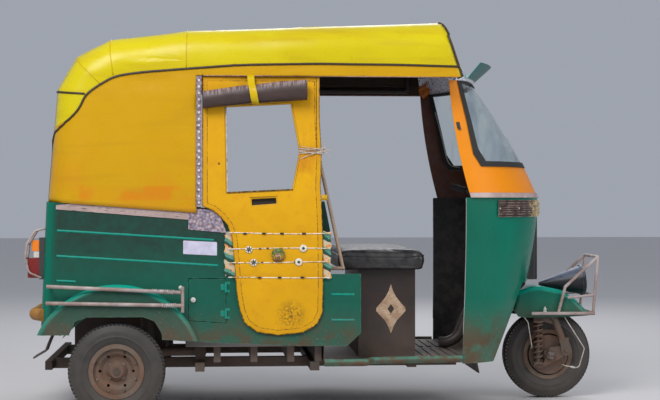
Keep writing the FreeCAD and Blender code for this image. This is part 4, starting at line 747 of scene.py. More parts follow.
line_s = along([(x, z) for x, z in HOOD_LINE], HOOD_STEP)
hem_s = []
spans = [round((Vector(b) - Vector(a)).length / (HOOD_STEP)) or 1 for a, b in zip(HOOD_LINE, HOOD_LINE[1:])]
for (a, b), count in zip(zip(HOOD_HEM, HOOD_HEM[1:]), spans):
    hem_s += [Vector(a).lerp(Vector(b), k / max(1, count)) for k in range(max(1, count))]
hem_s.append(Vector(HOOD_HEM[-1]))
edge_y = side_half(1.7) - HOOD_R
DROP = edge_y ** 2 / ROOF_CURVE
side_line = [Vector((p.x, p.y - DROP * camber(p.x, p.y))) for p in line_s]

bm = bmesh.new()
panel = bm.verts.layers.float.new("panel")


def hood_vertex(x, y, z, outward):
    push = cloth_wave(x, y, z)
    v = bm.verts.new((x + outward[0] * push, y + outward[1] * push, z + outward[2] * push))
    v[panel] = above_piping(x, z) if abs(y) > 0.52 else (0.2 if z > 1.25 else -0.2)
    return v


def quads(rows, skip=None):
    for i in range(len(rows) - 1):
        for j in range(len(rows[i]) - 1):
            if skip and skip(rows[i][j], rows[i + 1][j + 1]):
                continue
            corners = (rows[i][j], rows[i + 1][j], rows[i + 1][j + 1], rows[i][j + 1])
            if len(set(corners)) == 4:
                bm.faces.new(corners)


# Roof and back sheet, from one shoulder to the other
half_w = REAR_WINDOW[0]
ys = [-edge_y + k * (edge_y - half_w) / 12 for k in range(12)]
ys += [-half_w + k * half_w / 10 for k in range(21)]
ys += [half_w + k * (edge_y - half_w) / 12 for k in range(1, 13)]
rows = []
for i, p in enumerate(line_s):
    a, b = line_s[max(0, i - 1)], line_s[min(len(line_s) - 1, i + 1)]
    run = (b - a).normalized()
    out = (-run.y, 0, run.x)
    rows.append([hood_vertex(p.x, y, p.y - y * y / ROOF_CURVE * camber(p.x, p.y), out) for y in ys])


def in_window(a, b):
    m = (a.co + b.co) / 2
    return m.x < -1.1 and abs(m.y) < half_w and REAR_WINDOW[1] < m.z < REAR_WINDOW[2]


quads(rows, in_window)

# Sides, from the shoulder down to the hem
FALL = [0, 0.012, 0.03, 0.055, 0.085, 0.12, 0.155, 0.19]
for side in (-1, 1):
    rows = []
    for i, (p, hem) in enumerate(zip(side_line, hem_s)):
        width = (hem - p).length
        row = []
        shares = [f / width for f in FALL] if width > 0.21 else [k / 7 * 0.9 for k in range(8)]
        shares += [shares[-1] + (1 - shares[-1]) * k / 26 for k in range(1, 27)]
        for t in shares:
            q = p.lerp(hem, t)
            d = polyline_distance(q, side_line)
            short = max(0.0, HOOD_R - d)
            y = side_half(q.y) - (HOOD_R - sqrt(max(0.0, HOOD_R ** 2 - short ** 2)))
            row.append(hood_vertex(q.x, side * y, q.y, (0, side, 0)))
        rows.append(row)
    quads(rows)

# Front: a leaning panel under the roof's front edge, with an ear at each side
def front_x(z):
    return 0.498 + (ROOF_TOP - z) * HOOD_LEAN


def roof_edge(y):
    y = abs(y)
    if y <= edge_y:
        return ROOF_TOP - y * y / ROOF_CURVE
    top = ROOF_TOP - DROP - HOOD_R
    for k in range(30):
        z = ROOF_TOP - DROP - HOOD_R * k / 29
        short = HOOD_R - (ROOF_TOP - DROP - z)
        if side_half(z) - (HOOD_R - sqrt(max(0.0, HOOD_R ** 2 - short ** 2))) >= y:
            return z
    return top


for y0, y1, foot, count in ((-0.5905, -0.466, 1.4795, 9), (-0.466, 0.466, 1.5735, 40),
                            (0.466, 0.5905, 1.4795, 9)):
    rows = []
    for k in range(count + 1):
        y = y0 + (y1 - y0) * k / count
        top = roof_edge(y) if abs(y) < 0.59 else 1.60
        rows.append([hood_vertex(front_x(top + (foot - top) * j / 10), y, top + (foot - top) * j / 10,
                                 (1, 0, 0.3))
                     for j in range(11)])
    quads(rows)
bmesh.ops.remove_doubles(bm, verts=bm.verts, dist=0.0022)

hood_cloth, tree = blank_material("yellow_hood_cloth")
where = place_of(tree)
side = node(tree, "ShaderNodeAttribute", attribute_name="panel")
broad = clouds(tree, 1.6, 1.6)
small = clouds(tree, 24.0, 2.0, 7.0)
roof_tone = mix_colour(tree, broad, (0.53, 0.42, 0.001), (0.66, 0.55, 0.003))
side_tone = mix_colour(tree, broad, (0.52, 0.28, 0.0005), (0.60, 0.33, 0.001))
tone = mix_colour(tree, rescale(tree, side.outputs["Fac"], -0.0005, 0.0005), side_tone, roof_tone)
# Painted shade: long horizontal streaks of darker orange stand in for the shade in the cloth's folds
spread = node(tree, "ShaderNodeMapping", {"Vector": where, "Scale": (0.55, 0.55, 4.5)})
dust_streaks_and_fold_shade = node(tree, "ShaderNodeTexNoise", {"Vector": spread.outputs[0], "Scale": 5.0, "Detail": 6.0})
tone = mix_colour(tree, rescale(tree, dust_streaks_and_fold_shade.outputs[0], 0.50, 0.75, 0.0, 0.35), tone, (0.42, 0.21, 0.008))
stain = clouds(tree, 7.0, 6.0, 9.0)
low = rescale(tree, axes(tree)[2], 1.25, 0.90)
tone = mix_colour(tree, times(tree, stain, times(tree, low, 0.35)), tone,
                  (0.62, 0.20, 0.006))
at = axes(tree)
band = times(tree, rescale(tree, sum_of(tree, "ABSOLUTE", sum_of(tree, "SUBTRACT", at[2], 0.972)), 0.034,
                           0.026),
              rescale(tree, sum_of(tree, "ABSOLUTE", plus(tree, at[0], 0.83)), 0.255, 0.235))
band = times(tree, band, rescale(tree, at[1], -0.50, -0.55))
tone = mix_colour(tree, times(tree, band, rescale(tree, stain, 0.25, 0.75, 0.15, 0.75)), tone,
                  (0.62, 0.20, 0.003))
finish(tree, tone, rescale(tree, small, 0, 1, 0.24, 0.38))
inputs_of(tree)["Specular IOR Level"].default_value = 0.3
grain = node(tree, "ShaderNodeTexVoronoi", {"Vector": where, "Scale": 420.0}, feature="SMOOTH_F1")
rough_bump(tree, plus(tree, times(tree, grain.outputs[0], 0.25), small), 0.16, 0.001)
lining = mottled("brown_headlining", (8.0, 1.6), (0.030, 0.020, 0.015), (0.060, 0.042, 0.030), 0.85)

hood = from_bmesh("hood", bm, hood_cloth)
hood.data.materials.append(lining)


def face_out(piece, centre):
    """Turns an open sheet so that its faces look away from a point inside."""
    total = sum(f.area * f.normal.dot(f.center - Vector(centre)) for f in piece.data.polygons)
    if total < 0:
        piece.data.flip_normals()


def thicken(piece, wall, offset=-1.0, back=None):
    step = piece.modifiers.new("wall", "SOLIDIFY")
    step.thickness = wall
    step.offset = offset
    if back is not None:
        step.material_offset = back
        step.material_offset_rim = 0
    keep_shape(piece)


def keep_shape(piece):
    """Applies the modifiers of a piece."""
    bpy.context.view_layer.update()
    ready = piece.evaluated_get(bpy.context.evaluated_depsgraph_get())
    mesh = bpy.data.meshes.new_from_object(ready)
    piece.modifiers.clear()
    piece.data = mesh


face_out(hood, (-0.3, 0, 1.2))
hood_surface = BVHTree.FromObject(hood, bpy.context.evaluated_depsgraph_get())
thicken(hood, 0.0025, back=1)
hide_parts("canopy")
fixed(hood)


def sweep(bm, points, radius, sides=8, closed=False, taper=None):
    """A round tube along a list of points, its ends capped."""
    pts = [Vector(p) for p in points]
    rings = []
    up = None
    for i, p in enumerate(pts):
        ahead = pts[(i + 1) % len(pts)] if closed or i + 1 < len(pts) else p
        back = pts[i - 1] if closed or i else p
        run = (ahead - back).normalized()
        if up is None:
            up = run.orthogonal().normalized()
        up = (up - run * up.dot(run)).normalized()
        across = run.cross(up)
        r = radius * (taper(i / (len(pts) - 1)) if taper else 1.0)
        rings.append([bm.verts.new(p + up * u + across * w) for u, w in circle(r, sides)])
    if closed:
        bridge(bm, rings, closed)
    else:
        capped(bm, rings)


def laid_on(surface, points, step, lift=0.001, smooth=3):
    """A line laid on a surface: corners rounded, then each point dropped onto it."""
    pts = along(points, step)
    for _ in range(smooth):
        pts = [pts[0]] + [(a + b * 2 + c) / 4 for a, b, c in zip(pts, pts[1:], pts[2:])] + [pts[-1]]
    found = [surface.find_nearest(p) for p in pts]
    return [place + normal * lift for place, normal, _, _ in found]


brown_piping = mottled("brown_piping", (70.0, 2.0), (0.018, 0.010, 0.006), (0.055, 0.030, 0.016), 0.45)
bm = bmesh.new()
for side in (-1, 1):
    w = 0.60 * side
    line = [(x, w, z) for x, z in SIDE_PIPING[1:]]
    back = [(-1.206, side * 0.43, 0.95), (-1.21, side * 0.435, 1.15), (-1.20, side * 0.50, 1.225),
            (-1.19, side * 0.57, 1.25)]
    sweep(bm, laid_on(hood_surface, back + line, 0.016, smooth=6), 0.0052)
    sweep(bm, laid_on(hood_surface, [(-1.051, w, 1.397), (-1.13, w, 1.405), (-1.19, side * 0.55, 1.412),
                                     (-1.18, 0, 1.418)], 0.016), 0.0045)
    edge = [(front_x(z), side * 0.62, z) for z in (1.482, 1.55, 1.60)]
    edge += [(front_x(1.66), side * 0.585, 1.66), (front_x(1.70), side * 0.55, 1.70),
             (0.502, side * 0.50, 1.735), (0.50, 0, 1.76)]
    sweep(bm, laid_on(hood_surface, edge, 0.014, lift=0.0015, smooth=4), 0.0055)
piping = from_bmesh("hood_piping", bm, brown_piping)
fixed(piping)

# Welted cross seams: a doubled strip of the same cloth on each side of the join
bm = bmesh.new()
for side in (-1, 1):
    for foot, head in (((-0.618, 1.512), (-0.616, 1.70)), ((-0.930, 1.478), (-0.952, 1.66)),
                       ((-0.985, 1.440), (-1.094, 1.577))):
        a = (foot[0], side * 0.60, foot[1])
        b = (head[0], side * 0.56, head[1] - 0.03)
        c = (head[0], side * 0.45, head[1])
        sweep(bm, laid_on(hood_surface, [a, b, c, (head[0], 0, head[1])], 0.016, lift=0.0002, smooth=5),
              0.0022, 6)
    sweep(bm, laid_on(hood_surface, [(-0.548, side * 0.60, 1.482), (-0.560, side * 0.60, 1.52)], 0.01, 0.0002,
                      0), 0.002, 6)
seams = from_bmesh("hood_seams", bm, hood_cloth)
fixed(seams)


# Door curtain

# One piece of the hood's coated cloth, hemmed round its edge and hung from the
# roof rail across the right rear doorway. A window is let into it, with a grey
# bead down its rear edge, and its front strip is gathered where it is lashed.
CURTAIN_EDGE = (             # seen from the right: x, z
    (-0.5495, 1.478), (-0.0420, 1.480), (-0.0420, 1.30), (-0.0330, 1.148), (-0.0380, 1.00), (-0.0290, 0.804),
    (-0.0270, 0.560), (-0.0300, 0.455), (-0.0560, 0.402), (-0.1150, 0.368), (-0.2240, 0.357),
    (-0.3130, 0.371),
    (-0.3660, 0.410), (-0.3880, 0.465), (-0.4010, 0.540), (-0.4140, 0.700), (-0.4220, 0.780),
    (-0.4410, 0.832),
    (-0.4700, 0.868), (-0.5060, 0.898), (-0.5490, 0.914),
)
CURTAIN_WINDOW = ((-0.446, 1.342), (-0.168, 1.357), (-0.148, 1.250), (-0.131, 1.150), (-0.148, 1.060),
                  (-0.162, 0.990),
                  (-0.300, 0.982), (-0.440, 0.976))
CURTAIN_SLOT = ((-0.337, 0.945), (-0.232, 0.951), (-0.230, 0.927), (-0.335, 0.919))
LASHING_Z = 1.148
CORDS_Z = (0.800, 0.732, 0.673, 0.607)


def inside(p, loop):
    """Whether a flat point lies in a closed outline."""
    hit = False
    for a, b in zip(loop, list(loop[1:]) + [loop[0]]):
        if (a[1] > p[1]) != (b[1] > p[1]) and p[0] < (b[0] - a[0]) * (p[1] - a[1]) / (b[1] - a[1]) + a[0]:
            hit = not hit
    return hit


def rim_distance(p, loop):
    return polyline_distance(Vector(p), [Vector(q) for q in loop] + [Vector(loop[0])])


def cut_cloth(outline, holes, step):
    """Flat points and triangles of a piece of cloth cut to an outline, with holes."""
    loops = [along(list(loop) + [loop[0]], step)[:-1] for loop in [outline] + list(holes)]
    points, edges = [], []
    for loop in loops:
        edges += [(len(points) + k, len(points) + (k + 1) % len(loop)) for k in range(len(loop))]
        points += loop
    low = [min(p[k] for p in outline) for k in (0, 1)]
    high = [max(p[k] for p in outline) for k in (0, 1)]
    for i in range(int((high[1] - low[1]) / (step * 0.87)) + 1):
        for j in range(int((high[0] - low[0]) / step) + 1):
            p = (low[0] + (j + 0.5 * (i % 2)) * step, low[1] + i * step * 0.87)
            if inside(p, outline) and not any(inside(p, h) for h in holes):
                if min(rim_distance(p, loop) for loop in [outline] + list(holes)) > step * 0.55:
                    points.append(Vector(p))
    spots, _, faces = delaunay_2d_cdt(points, edges, [], 0, 1e-6)[:3]
    kept = []
    for face in faces:
        middle = sum((spots[k] for k in face), Vector((0, 0))) / 3
        if inside(middle, outline) and not any(inside(middle, h) for h in holes):
            kept.append(face)
    return spots, kept


def curtain_y(z):
    """The curtain's outer face: it slopes out from the rail to the belt, then hangs plumb."""
    return -0.6005 + 0.0225 * clamp((z - 0.905) / 0.582)


def curtain_fold(x, z):
    """How far the cloth stands out of its plane, in metres, outward positive."""
    slack = 0.0034 * ripple(x * 6.0, 1.0, z * 2.6) + 0.0014 * ripple(x * 17.0, 4.0, z * 9.0)
    front = clamp((x + 0.20) / 0.06)
    tied = exp(-((z - LASHING_Z) / 0.10) ** 2) * front
    flutes = 0.0042 * sin((x + 0.03) / 0.0052) * tied
    pinch = -0.0030 * exp(-((z - LASHING_Z) / 0.022) ** 2) * front
    for level in CORDS_Z:
        pinch -= 0.0016 * exp(-((z - level) / 0.010) ** 2)
    belly = 0.0035 * exp(-((z - 0.50) / 0.10) ** 2) * exp(-((x + 0.2) / 0.15) ** 2)
    hang = 0.0016 * sin(x * 41.0 + z * 3.0) * clamp((0.62 - z) / 0.15)
    push = slack + flutes + pinch + belly + hang
    return abs(push) if x < -0.40 and z < 0.96 else max(push, -0.0022)


spots, faces = cut_cloth(CURTAIN_EDGE, [CURTAIN_WINDOW, CURTAIN_SLOT], 0.0080)
bm = bmesh.new()
rim = bm.verts.layers.float.new("rim")
sill = bm.verts.layers.float.new("sill")
for p in spots:
    v = bm.verts.new((p.x, curtain_y(p.y) - curtain_fold(p.x, p.y), p.y))
    v[rim] = rim_distance(p, CURTAIN_EDGE)
    v[sill] = min(rim_distance(p, CURTAIN_WINDOW), rim_distance(p, CURTAIN_SLOT) * 1.6)
bm.verts.ensure_lookup_table()
for face in faces:
    bm.faces.new([bm.verts[k] for k in face])

curtain_cloth, tree = blank_material("yellow_curtain_cloth")
where = place_of(tree)
edge = node(tree, "ShaderNodeAttribute", attribute_name="rim").outputs["Fac"]
window = node(tree, "ShaderNodeAttribute", attribute_name="sill").outputs["Fac"]
broad = clouds(tree, 4.0, 1.6)
small = clouds(tree, 34.0, 2.0, 7.0)
inputs_of(tree)["Specular IOR Level"].default_value = 0.25
tone = mix_colour(tree, broad, (0.62, 0.31, 0.001), (0.74, 0.39, 0.001))
tone = mix_colour(tree, rescale(tree, small, 0.62, 0.95, 0.0, 0.35), tone, (0.60, 0.22, 0.003))
# Painted shade: the gathered cloth round the lashing is darkened to a deeper orange
gathered_fold_shade = clouds(tree, 8.5, 5.0, 9.0)
lashed = node(tree, "ShaderNodeVectorMath", {0: where, 1: (-0.08, -0.59, 1.10)}, operation="DISTANCE")
dark = times(tree, gathered_fold_shade, rescale(tree, lashed.outputs["Value"], 0.12, 0.02, 0.15, 0.8))
tone = mix_colour(tree, dark, tone, (0.52, 0.19, 0.004))
torn = node(tree, "ShaderNodeVectorMath", {0: where, 1: (-0.478, -0.592, 1.099)}, operation="DISTANCE")
ragged = plus(tree, torn.outputs["Value"], times(tree, small, 0.007))
tone = mix_colour(tree, rescale(tree, ragged, 0.0105, 0.0085), tone, (0.16, 0.05, 0.006))
broken = clouds(tree, 75.0, 5.0, 2.0)


def stitch_line(tree, distance, at, half):
    """A mask along the line that keeps a fixed distance from an edge."""
    off = sum_of(tree, "ABSOLUTE", sum_of(tree, "SUBTRACT", distance, at))
    return rescale(tree, off, half, half * 0.55)


low = node(tree, "ShaderNodeVectorMath", {0: where, 1: (-0.165, -0.60, 0.445)}, operation="DISTANCE")
specks = clouds(tree, 110.0, 7.0, 3.0)
spatter = times(tree, rescale(tree, low.outputs["Value"], 0.075, 0.01, 0.0, 0.8), specks)
tone = mix_colour(tree, spatter, tone, (0.055, 0.030, 0.012))
hem = times(tree, stitch_line(tree, edge, 0.0215, 0.0017), rescale(tree, broken, 0.2, 0.7, 0.25, 1.0))
seam = sum_of(tree, "MAXIMUM", hem, times(tree, stitch_line(tree, window, 0.0075, 0.0011), 0.8))
tone = mix_colour(tree, rescale(tree, edge, 0.0215, 0.0205, 0.0, 0.16), tone, (0.42, 0.17, 0.003))
tone = mix_colour(tree, seam, tone, (0.10, 0.045, 0.012))
grime = times(tree, rescale(tree, edge, 0.0045, 0.001), rescale(tree, broken, 0.1, 0.6, 0.35, 1.0))
grime = sum_of(tree, "MAXIMUM", grime, rescale(tree, window, 0.0022, 0.0008, 0.0, 0.6))
tone = mix_colour(tree, grime, tone, (0.055, 0.030, 0.012))
finish(tree, tone, rescale(tree, small, 0, 1, 0.36, 0.56))
grain = node(tree, "ShaderNodeTexVoronoi", {"Vector": where, "Scale": 420.0}, feature="SMOOTH_F1")
relief = plus(tree, times(tree, grain.outputs[0], 0.25), small)
relief = plus(tree, relief, rescale(tree, edge, 0.0220, 0.0200, 0.0, 1.1))
rough_bump(tree, sum_of(tree, "SUBTRACT", relief, seam), 0.22, 0.001)

curtain = from_bmesh("door_curtain_cloth", bm, curtain_cloth)
if sum(f.normal.y for f in curtain.data.polygons) > 0:
    curtain.data.flip_normals()
thicken(curtain, 0.0016)
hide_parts("door_curtain")
fixed(curtain)


def on_curtain(x, z, lift=0.0):
    """A point on the curtain's outer face, or so far out of it."""
    return Vector((x, curtain_y(z) - curtain_fold(x, z) - lift, z))


# The window's bead and sill welt, sewn through the cloth
bead_rubber = mottled("pale_window_bead", (55.0, 2.4), (0.20, 0.21, 0.22), (0.58, 0.60, 0.62), 0.5)
bm = bmesh.new()
sweep(bm, [on_curtain(-0.4465 + 0.006 * k / 40, 1.345 - 0.371 * k / 40, 0.0006) for k in range(41)], 0.0026,
      8)
bead = from_bmesh("window_bead", bm, bead_rubber)
bm = bmesh.new()
sweep(bm, [on_curtain(-0.444 + 0.286 * k / 30, 0.9735 + 0.0140 * k / 30, 0.0004) for k in range(31)], 0.0030,
      8)
sweep(bm, [on_curtain(-0.346 + 0.122 * k / 12, 0.9525 + 0.0065 * k / 12, 0.0) for k in range(13)], 0.0012, 6)
sweep(bm, [on_curtain(-0.0555, 1.474 - 0.30 * k / 30, 0.0004) for k in range(31)], 0.0016, 6)
welt = from_bmesh("window_sill_welt", bm, curtain_cloth)

# A loop of the same cloth behind the front edge
bm = bmesh.new()
quads([[bm.verts.new((-0.034 + 0.0255 * k / 6, -0.5950 - 0.0025 * sin(pi * k / 6), z + rise * k / 6))
        for k in range(7)] for z, rise in ((0.9395, 0.002), (0.9650, -0.001))])
tab = from_bmesh("curtain_tab", bm, hood_cloth)
thicken(tab, 0.0015, 0.0)

# A near-black sheet behind the slot: painted shade for the hollow that the slot opens on
pocket_shade = mottled("pocket_painted_shade", (40.0, 2.0), (0.012, 0.008, 0.006), (0.035, 0.022, 0.015), 0.85)
bm = bmesh.new()
rows = []
for i in range(9):
    z = 0.908 + 0.056 * i / 8
    rows.append([bm.verts.new((-0.350 + 0.132 * j / 16, on_curtain(-0.350 + 0.132 * j / 16, z, -0.0030).y
                               + 0.010 * sin(pi * i / 8), z)) for j in range(17)])
quads(rows)
pocket = from_bmesh("curtain_slot_shade", bm, pocket_shade)
thicken(pocket, 0.0010, 0.0)
for piece in (bead, welt, tab, pocket):
    fixed(piece)

# Lashing

# Three and a half turns of cheap laid rope, tan and grey-white, drawn round the
# curtain's front strip and the post behind it and finished in a lumpy knot.
rope_fibre, tree = blank_material("laid_rope")
where = place_of(tree)
fibres = node(tree, "ShaderNodeTexNoise", {"Vector": where, "Scale": 260.0, "Detail": 4.0})
patches = clouds(tree, 42.0, 3.0)
tone = mix_colour(tree, patches, (0.42, 0.30, 0.19), (0.66, 0.60, 0.54))
tone = mix_colour(tree, rescale(tree, fibres.outputs[0], 0.5, 0.7, 0.0, 0.6), tone, (0.20, 0.15, 0.12))
finish(tree, tone, 0.85)
rough_bump(tree, fibres.outputs[0], 0.5, 0.0008)


def laid_rope(bm, path, radius, lay=0.016, strands=3):
    """A rope of twisted strands along a line of points."""
    pts = [Vector(p) for p in path]
    run = 0.0
    frames = []
    up = None
    for i, p in enumerate(pts):
        a, b = pts[max(0, i - 1)], pts[min(len(pts) - 1, i + 1)]
        t = (b - a).normalized()
        up = t.orthogonal().normalized() if up is None else (up - t * up.dot(t)).normalized()
        frames.append((p, up, t.cross(up), run))
        if i + 1 < len(pts):
            run += (pts[i + 1] - p).length
    for s in range(strands):
        line = []
        for p, u, w, at in frames:
            a = 2 * pi * (at / lay + s / strands)
            line.append(p + (u * cos(a) + w * sin(a)) * radius * 0.52)
        sweep(bm, line, radius * 0.55, 6)


def turn_round(z_front, z_back, wander, count=56):
    """One turn of the lashing, flat over the strip and round the back of the post."""
    out = []
    for k in range(count + 1):
        a = 2 * pi * k / count
        x = -0.078 + 0.053 * cos(a)
        y = -0.569 - 0.027 * sin(a)
        z = z_front + (z_back - z_front) * (0.5 - 0.5 * sin(a)) + wander * sin(2 * a + 1.3)
        if y < -0.575:
            y = min(y, curtain_y(z) - max(0.0, curtain_fold(x, z)) - 0.0022)
        out.append((x, y, z))
    return out


bm = bmesh.new()
for k, (front, back, wander) in enumerate(((1.166, 1.158, 0.0015), (1.158, 1.150, -0.001),
                                           (1.151, 1.150, 0.002),
                                           (1.144, 1.146, -0.0015))):
    laid_rope(bm, turn_round(front, back, wander), 0.0024)
slack_turn = [(x, y, z - 0.030 * clamp((-0.04 - x) / 0.09) ** 1.2) for x, y,
              z in turn_round(1.150, 1.142, 0.0)]
laid_rope(bm, slack_turn, 0.0022)
KNOT = Vector((-0.024, -0.5985, 1.158))
for k in range(3):
    loop = []
    for j in range(25):
        a = 2 * pi * j / 24
        tilt = 0.9 * k + 0.4
        loop.append(KNOT + Vector((0.0088 * cos(a), 0.0055 * sin(a) * cos(tilt) - 0.001 * k,
                                   0.0085 * sin(a) * sin(tilt) + 0.0018 * (k - 1))))
    laid_rope(bm, loop, 0.0026)
lashing = from_bmesh("rope_lashing", bm, rope_fibre)
bm = bmesh.new()
for tip, bend in (((0.012, -0.606, 1.150), (-0.004, -0.609, 1.166)),
                  ((-0.020, -0.604, 1.196), (-0.014, -0.607, 1.178)),
                  ((0.004, -0.601, 1.116), (-0.004, -0.607, 1.142)),
                  ((-0.128, -0.5990, 1.176), (-0.075, -0.6005, 1.166))):
    start, tip, bend = KNOT, Vector(tip), Vector(bend)
    line = [start.lerp(bend, k / 12).lerp(bend.lerp(tip, k / 12), k / 12) for k in range(13)]
    sweep(bm, line, 0.0016, 6, taper=lambda t: 1.0 - 0.35 * t)
    for k in range(4):
        frayed = tip + Vector((0.006 * cos(k * 2.1), 0.003 * sin(k * 1.7), 0.006 * sin(k * 2.1)))
        sweep(bm, [tip.lerp(frayed, j / 3) for j in range(4)], 0.0005, 4)
tails = from_bmesh("rope_tails", bm, rope_fibre)

# Trimmings

# Four white cords with dark beads are drawn across the curtain from one ribbon
# behind its edges to the other. Felt rosettes and a sewn boss sit on the middle two.
white_cord, tree = blank_material("white_cotton_cord")
where = place_of(tree)
patches = clouds(tree, 60.0, 3.2)
tone = mix_colour(tree, rescale(tree, patches, 0.15, 0.55), (0.50, 0.30, 0.05), (0.80, 0.76, 0.68))
finish(tree, tone, 0.8)
black_felt = mottled("black_felt", (90.0, 2.0), (0.010, 0.012, 0.010), (0.045, 0.045, 0.038), 0.9, 0.5)
white_felt = mottled("white_felt", (70.0, 2.2), (0.60, 0.55, 0.42), (0.84, 0.81, 0.72), 0.9, 0.5)


def cord_x(level):
    """The two ends of a cord, on the ribbons behind the curtain's edges."""
    return (-0.446 if level > 0.78 else -0.438, 0.002)


def rosette(bm, x, z, radius, petals, depth, spin, dent):
    """A scalloped disc with a domed face, lying on the curtain."""
    middle = on_curtain(x, z, 0.0058)
    count = petals * 8
    rings = []
    for t in (k / 6 for k in range(1, 7)):
        ring = []
        for k in range(count):
            a = 2 * pi * k / count
            r = radius * t * (1 - dent * (0.5 - 0.5 * cos(petals * a)) * t)
            ring.append(bm.verts.new(middle + Vector((r * cos(a + spin), -depth * (1 - t * t),
                                                      r * sin(a + spin)))))
        rings.append(ring)
    hub = bm.verts.new(middle + Vector((0, -depth, 0)))
    for k in range(count):
        bm.faces.new((hub, rings[0][k], rings[0][(k + 1) % count]))
    rings.append([bm.verts.new(v.co + Vector((0, 0.0022, 0))) for v in rings[-1]])
    bridge(bm, rings)
    bm.faces.new(rings[-1])


def small_bead(bm, place, size, turn=0.0, fine=(12, 8)):
    """A flattened ball, turned about Y."""
    shape = Matrix.Translation(place) @ Matrix.Rotation(turn, 4, "Y") @ Matrix.Diagonal((*size, 1))
    bmesh.ops.create_uvsphere(bm, u_segments=fine[0], v_segments=fine[1], radius=1.0, matrix=shape)


bm = bmesh.new()
for level in CORDS_Z:
    x0, x1 = cord_x(level)
    line = []
    for k in range(71):
        x = x0 + (x1 - x0) * k / 70
        z = level + 0.0022 * sin(x * 9 + level * 30) - (0.004 if level > 0.78 else 0.0) * sin(pi * k / 70)
        on_cloth = -0.414 < x < -0.030
        y = on_curtain(x, z, 0.0014).y if on_cloth else -0.6005 - 0.0015
        line.append((x, y, z))
    sweep(bm, line, 0.0021, 6)
drawn_cords = from_bmesh("curtain_cords", bm, white_cord)
bm = bmesh.new()
beads = [(x, 0.800 - 0.003) for x in (-0.366, -0.284, -0.206, -0.111)]
beads += [(x, 0.607) for x in (-0.303, -0.216, -0.118)]
beads += [(-0.300, 0.732), (-0.268, 0.733), (-0.292, 0.673), (-0.150, 0.673)]
for k, (x, z) in enumerate(beads):
    size = 0.0050 if z > 0.78 or z < 0.62 else 0.0032
    small_bead(bm, on_curtain(x, z, 0.0042), (size * 1.9, size * 0.75, size * 0.85))
beads = from_bmesh("cord_beads", bm, black_felt)


bm = bmesh.new()
for x, z, spin in ((-0.349, 0.728, 0.2), (-0.328, 0.672, 0.5)):
    rosette(bm, x, z, 0.0165, 9, 0.0018, spin, 0.16)
for x, z in ((-0.1135, 0.733), (-0.1335, 0.674)):
    rosette(bm, x, z, 0.0170, 12, 0.0030, 0.1, 0.10)
pale_discs = from_bmesh("rosette_discs", bm, white_felt)
bm = bmesh.new()
for x, z, spin in ((-0.349, 0.729, 0.3), (-0.328, 0.673, 0.75)):
    for k in range(6):
        a = spin + 2 * pi * k / 6
        petal = on_curtain(x, z, 0.0082) + Vector((0.0074 * cos(a), 0, 0.0074 * sin(a)))
        small_bead(bm, petal, (0.0064, 0.0013, 0.0024), -a)
for x, z in ((-0.1135, 0.733), (-0.1335, 0.674)):
    for u, w in circle(0.0028, 5):
        small_bead(bm, on_curtain(x + u, z + w, 0.0096), (0.0033, 0.0015, 0.0033), fine=(10, 8))
dark_petals = from_bmesh("rosette_petals", bm, black_felt)

# The boss: rings of small beads, green at its top and gold below, round a pink one
boss_thread, tree = blank_material("gold_and_green_beads")
where = place_of(tree)
apart = axes(tree)
grains = node(tree, "ShaderNodeTexVoronoi", {"Vector": where, "Scale": 150.0})
level = plus(tree, apart[2], times(tree, grains.outputs[0], 0.006))
tone = mix_colour(tree, rescale(tree, level, 0.700, 0.716), (0.62, 0.36, 0.05), (0.16, 0.24, 0.04))
tone = mix_colour(tree, rescale(tree, level, 0.694, 0.684), tone, (0.26, 0.10, 0.03))
core = node(tree, "ShaderNodeVectorMath", {0: where, 1: (-0.2225, -0.612, 0.7035)}, operation="DISTANCE")
tone = mix_colour(tree, rescale(tree, core.outputs["Value"], 0.0125, 0.0095), tone, (0.80, 0.55, 0.34))
finish(tree, mix_colour(tree, rescale(tree, grains.outputs[0], 0.35, 0.7, 0.0, 0.8), tone,
                        (0.05, 0.03, 0.01)), 0.42)
bm = bmesh.new()
rosette(bm, -0.2225, 0.7035, 0.0300, 18, 0.0085, 0.0, 0.07)
for ring, (radius, count, height) in enumerate(((0.0, 1, 0.0105), (0.0062, 6, 0.0095), (0.0118, 11, 0.0080),
                                                (0.0175, 17, 0.0060), (0.0232, 23, 0.0035),
                                                (0.0282, 28, 0.0010))):
    for u, w in circle(radius, count, pi * ring / count):
        near = on_curtain(-0.2225 + u, 0.7035 + w, 0.0058 + height)
        place = Matrix.Translation(near) @ Matrix.Diagonal((0.0029, 0.0024, 0.0029, 1))
        bmesh.ops.create_icosphere(bm, subdivisions=1, radius=1.0, matrix=place)
boss = from_bmesh("sewn_boss", bm, boss_thread)

# The ribbons: printed cotton hung behind the curtain's two edges
ribbon_cloth, tree = blank_material("printed_ribbon")
where = place_of(tree)
apart = axes(tree)
slant = plus(tree, apart[2], times(tree, apart[0], 0.55))
wobble = clouds(tree, 32.0, 1.0)
slant = plus(tree, slant, times(tree, wobble, 0.022))
band = sum_of(tree, "FRACT", times(tree, slant, 15.5))
tone = mix_colour(tree, rescale(tree, band, 0.16, 0.20), (0.003, 0.060, 0.040), (0.09, 0.26, 0.19))
tone = mix_colour(tree, rescale(tree, band, 0.42, 0.46), tone, (0.55, 0.45, 0.29))
petals = node(tree, "ShaderNodeTexVoronoi", {"Vector": where, "Scale": 62.0})
bloom = times(tree, rescale(tree, petals.outputs[0], 0.42, 0.34), rescale(tree, band, 0.40, 0.48))
tone = mix_colour(tree, bloom, tone, (0.78, 0.26, 0.04))
tone = mix_colour(tree, rescale(tree, petals.outputs[0], 0.14, 0.10), tone, (0.02, 0.018, 0.015))
tone = mix_colour(tree, rescale(tree, band, 0.93, 0.97), tone, (0.02, 0.02, 0.02))
finish(tree, tone, 0.75)
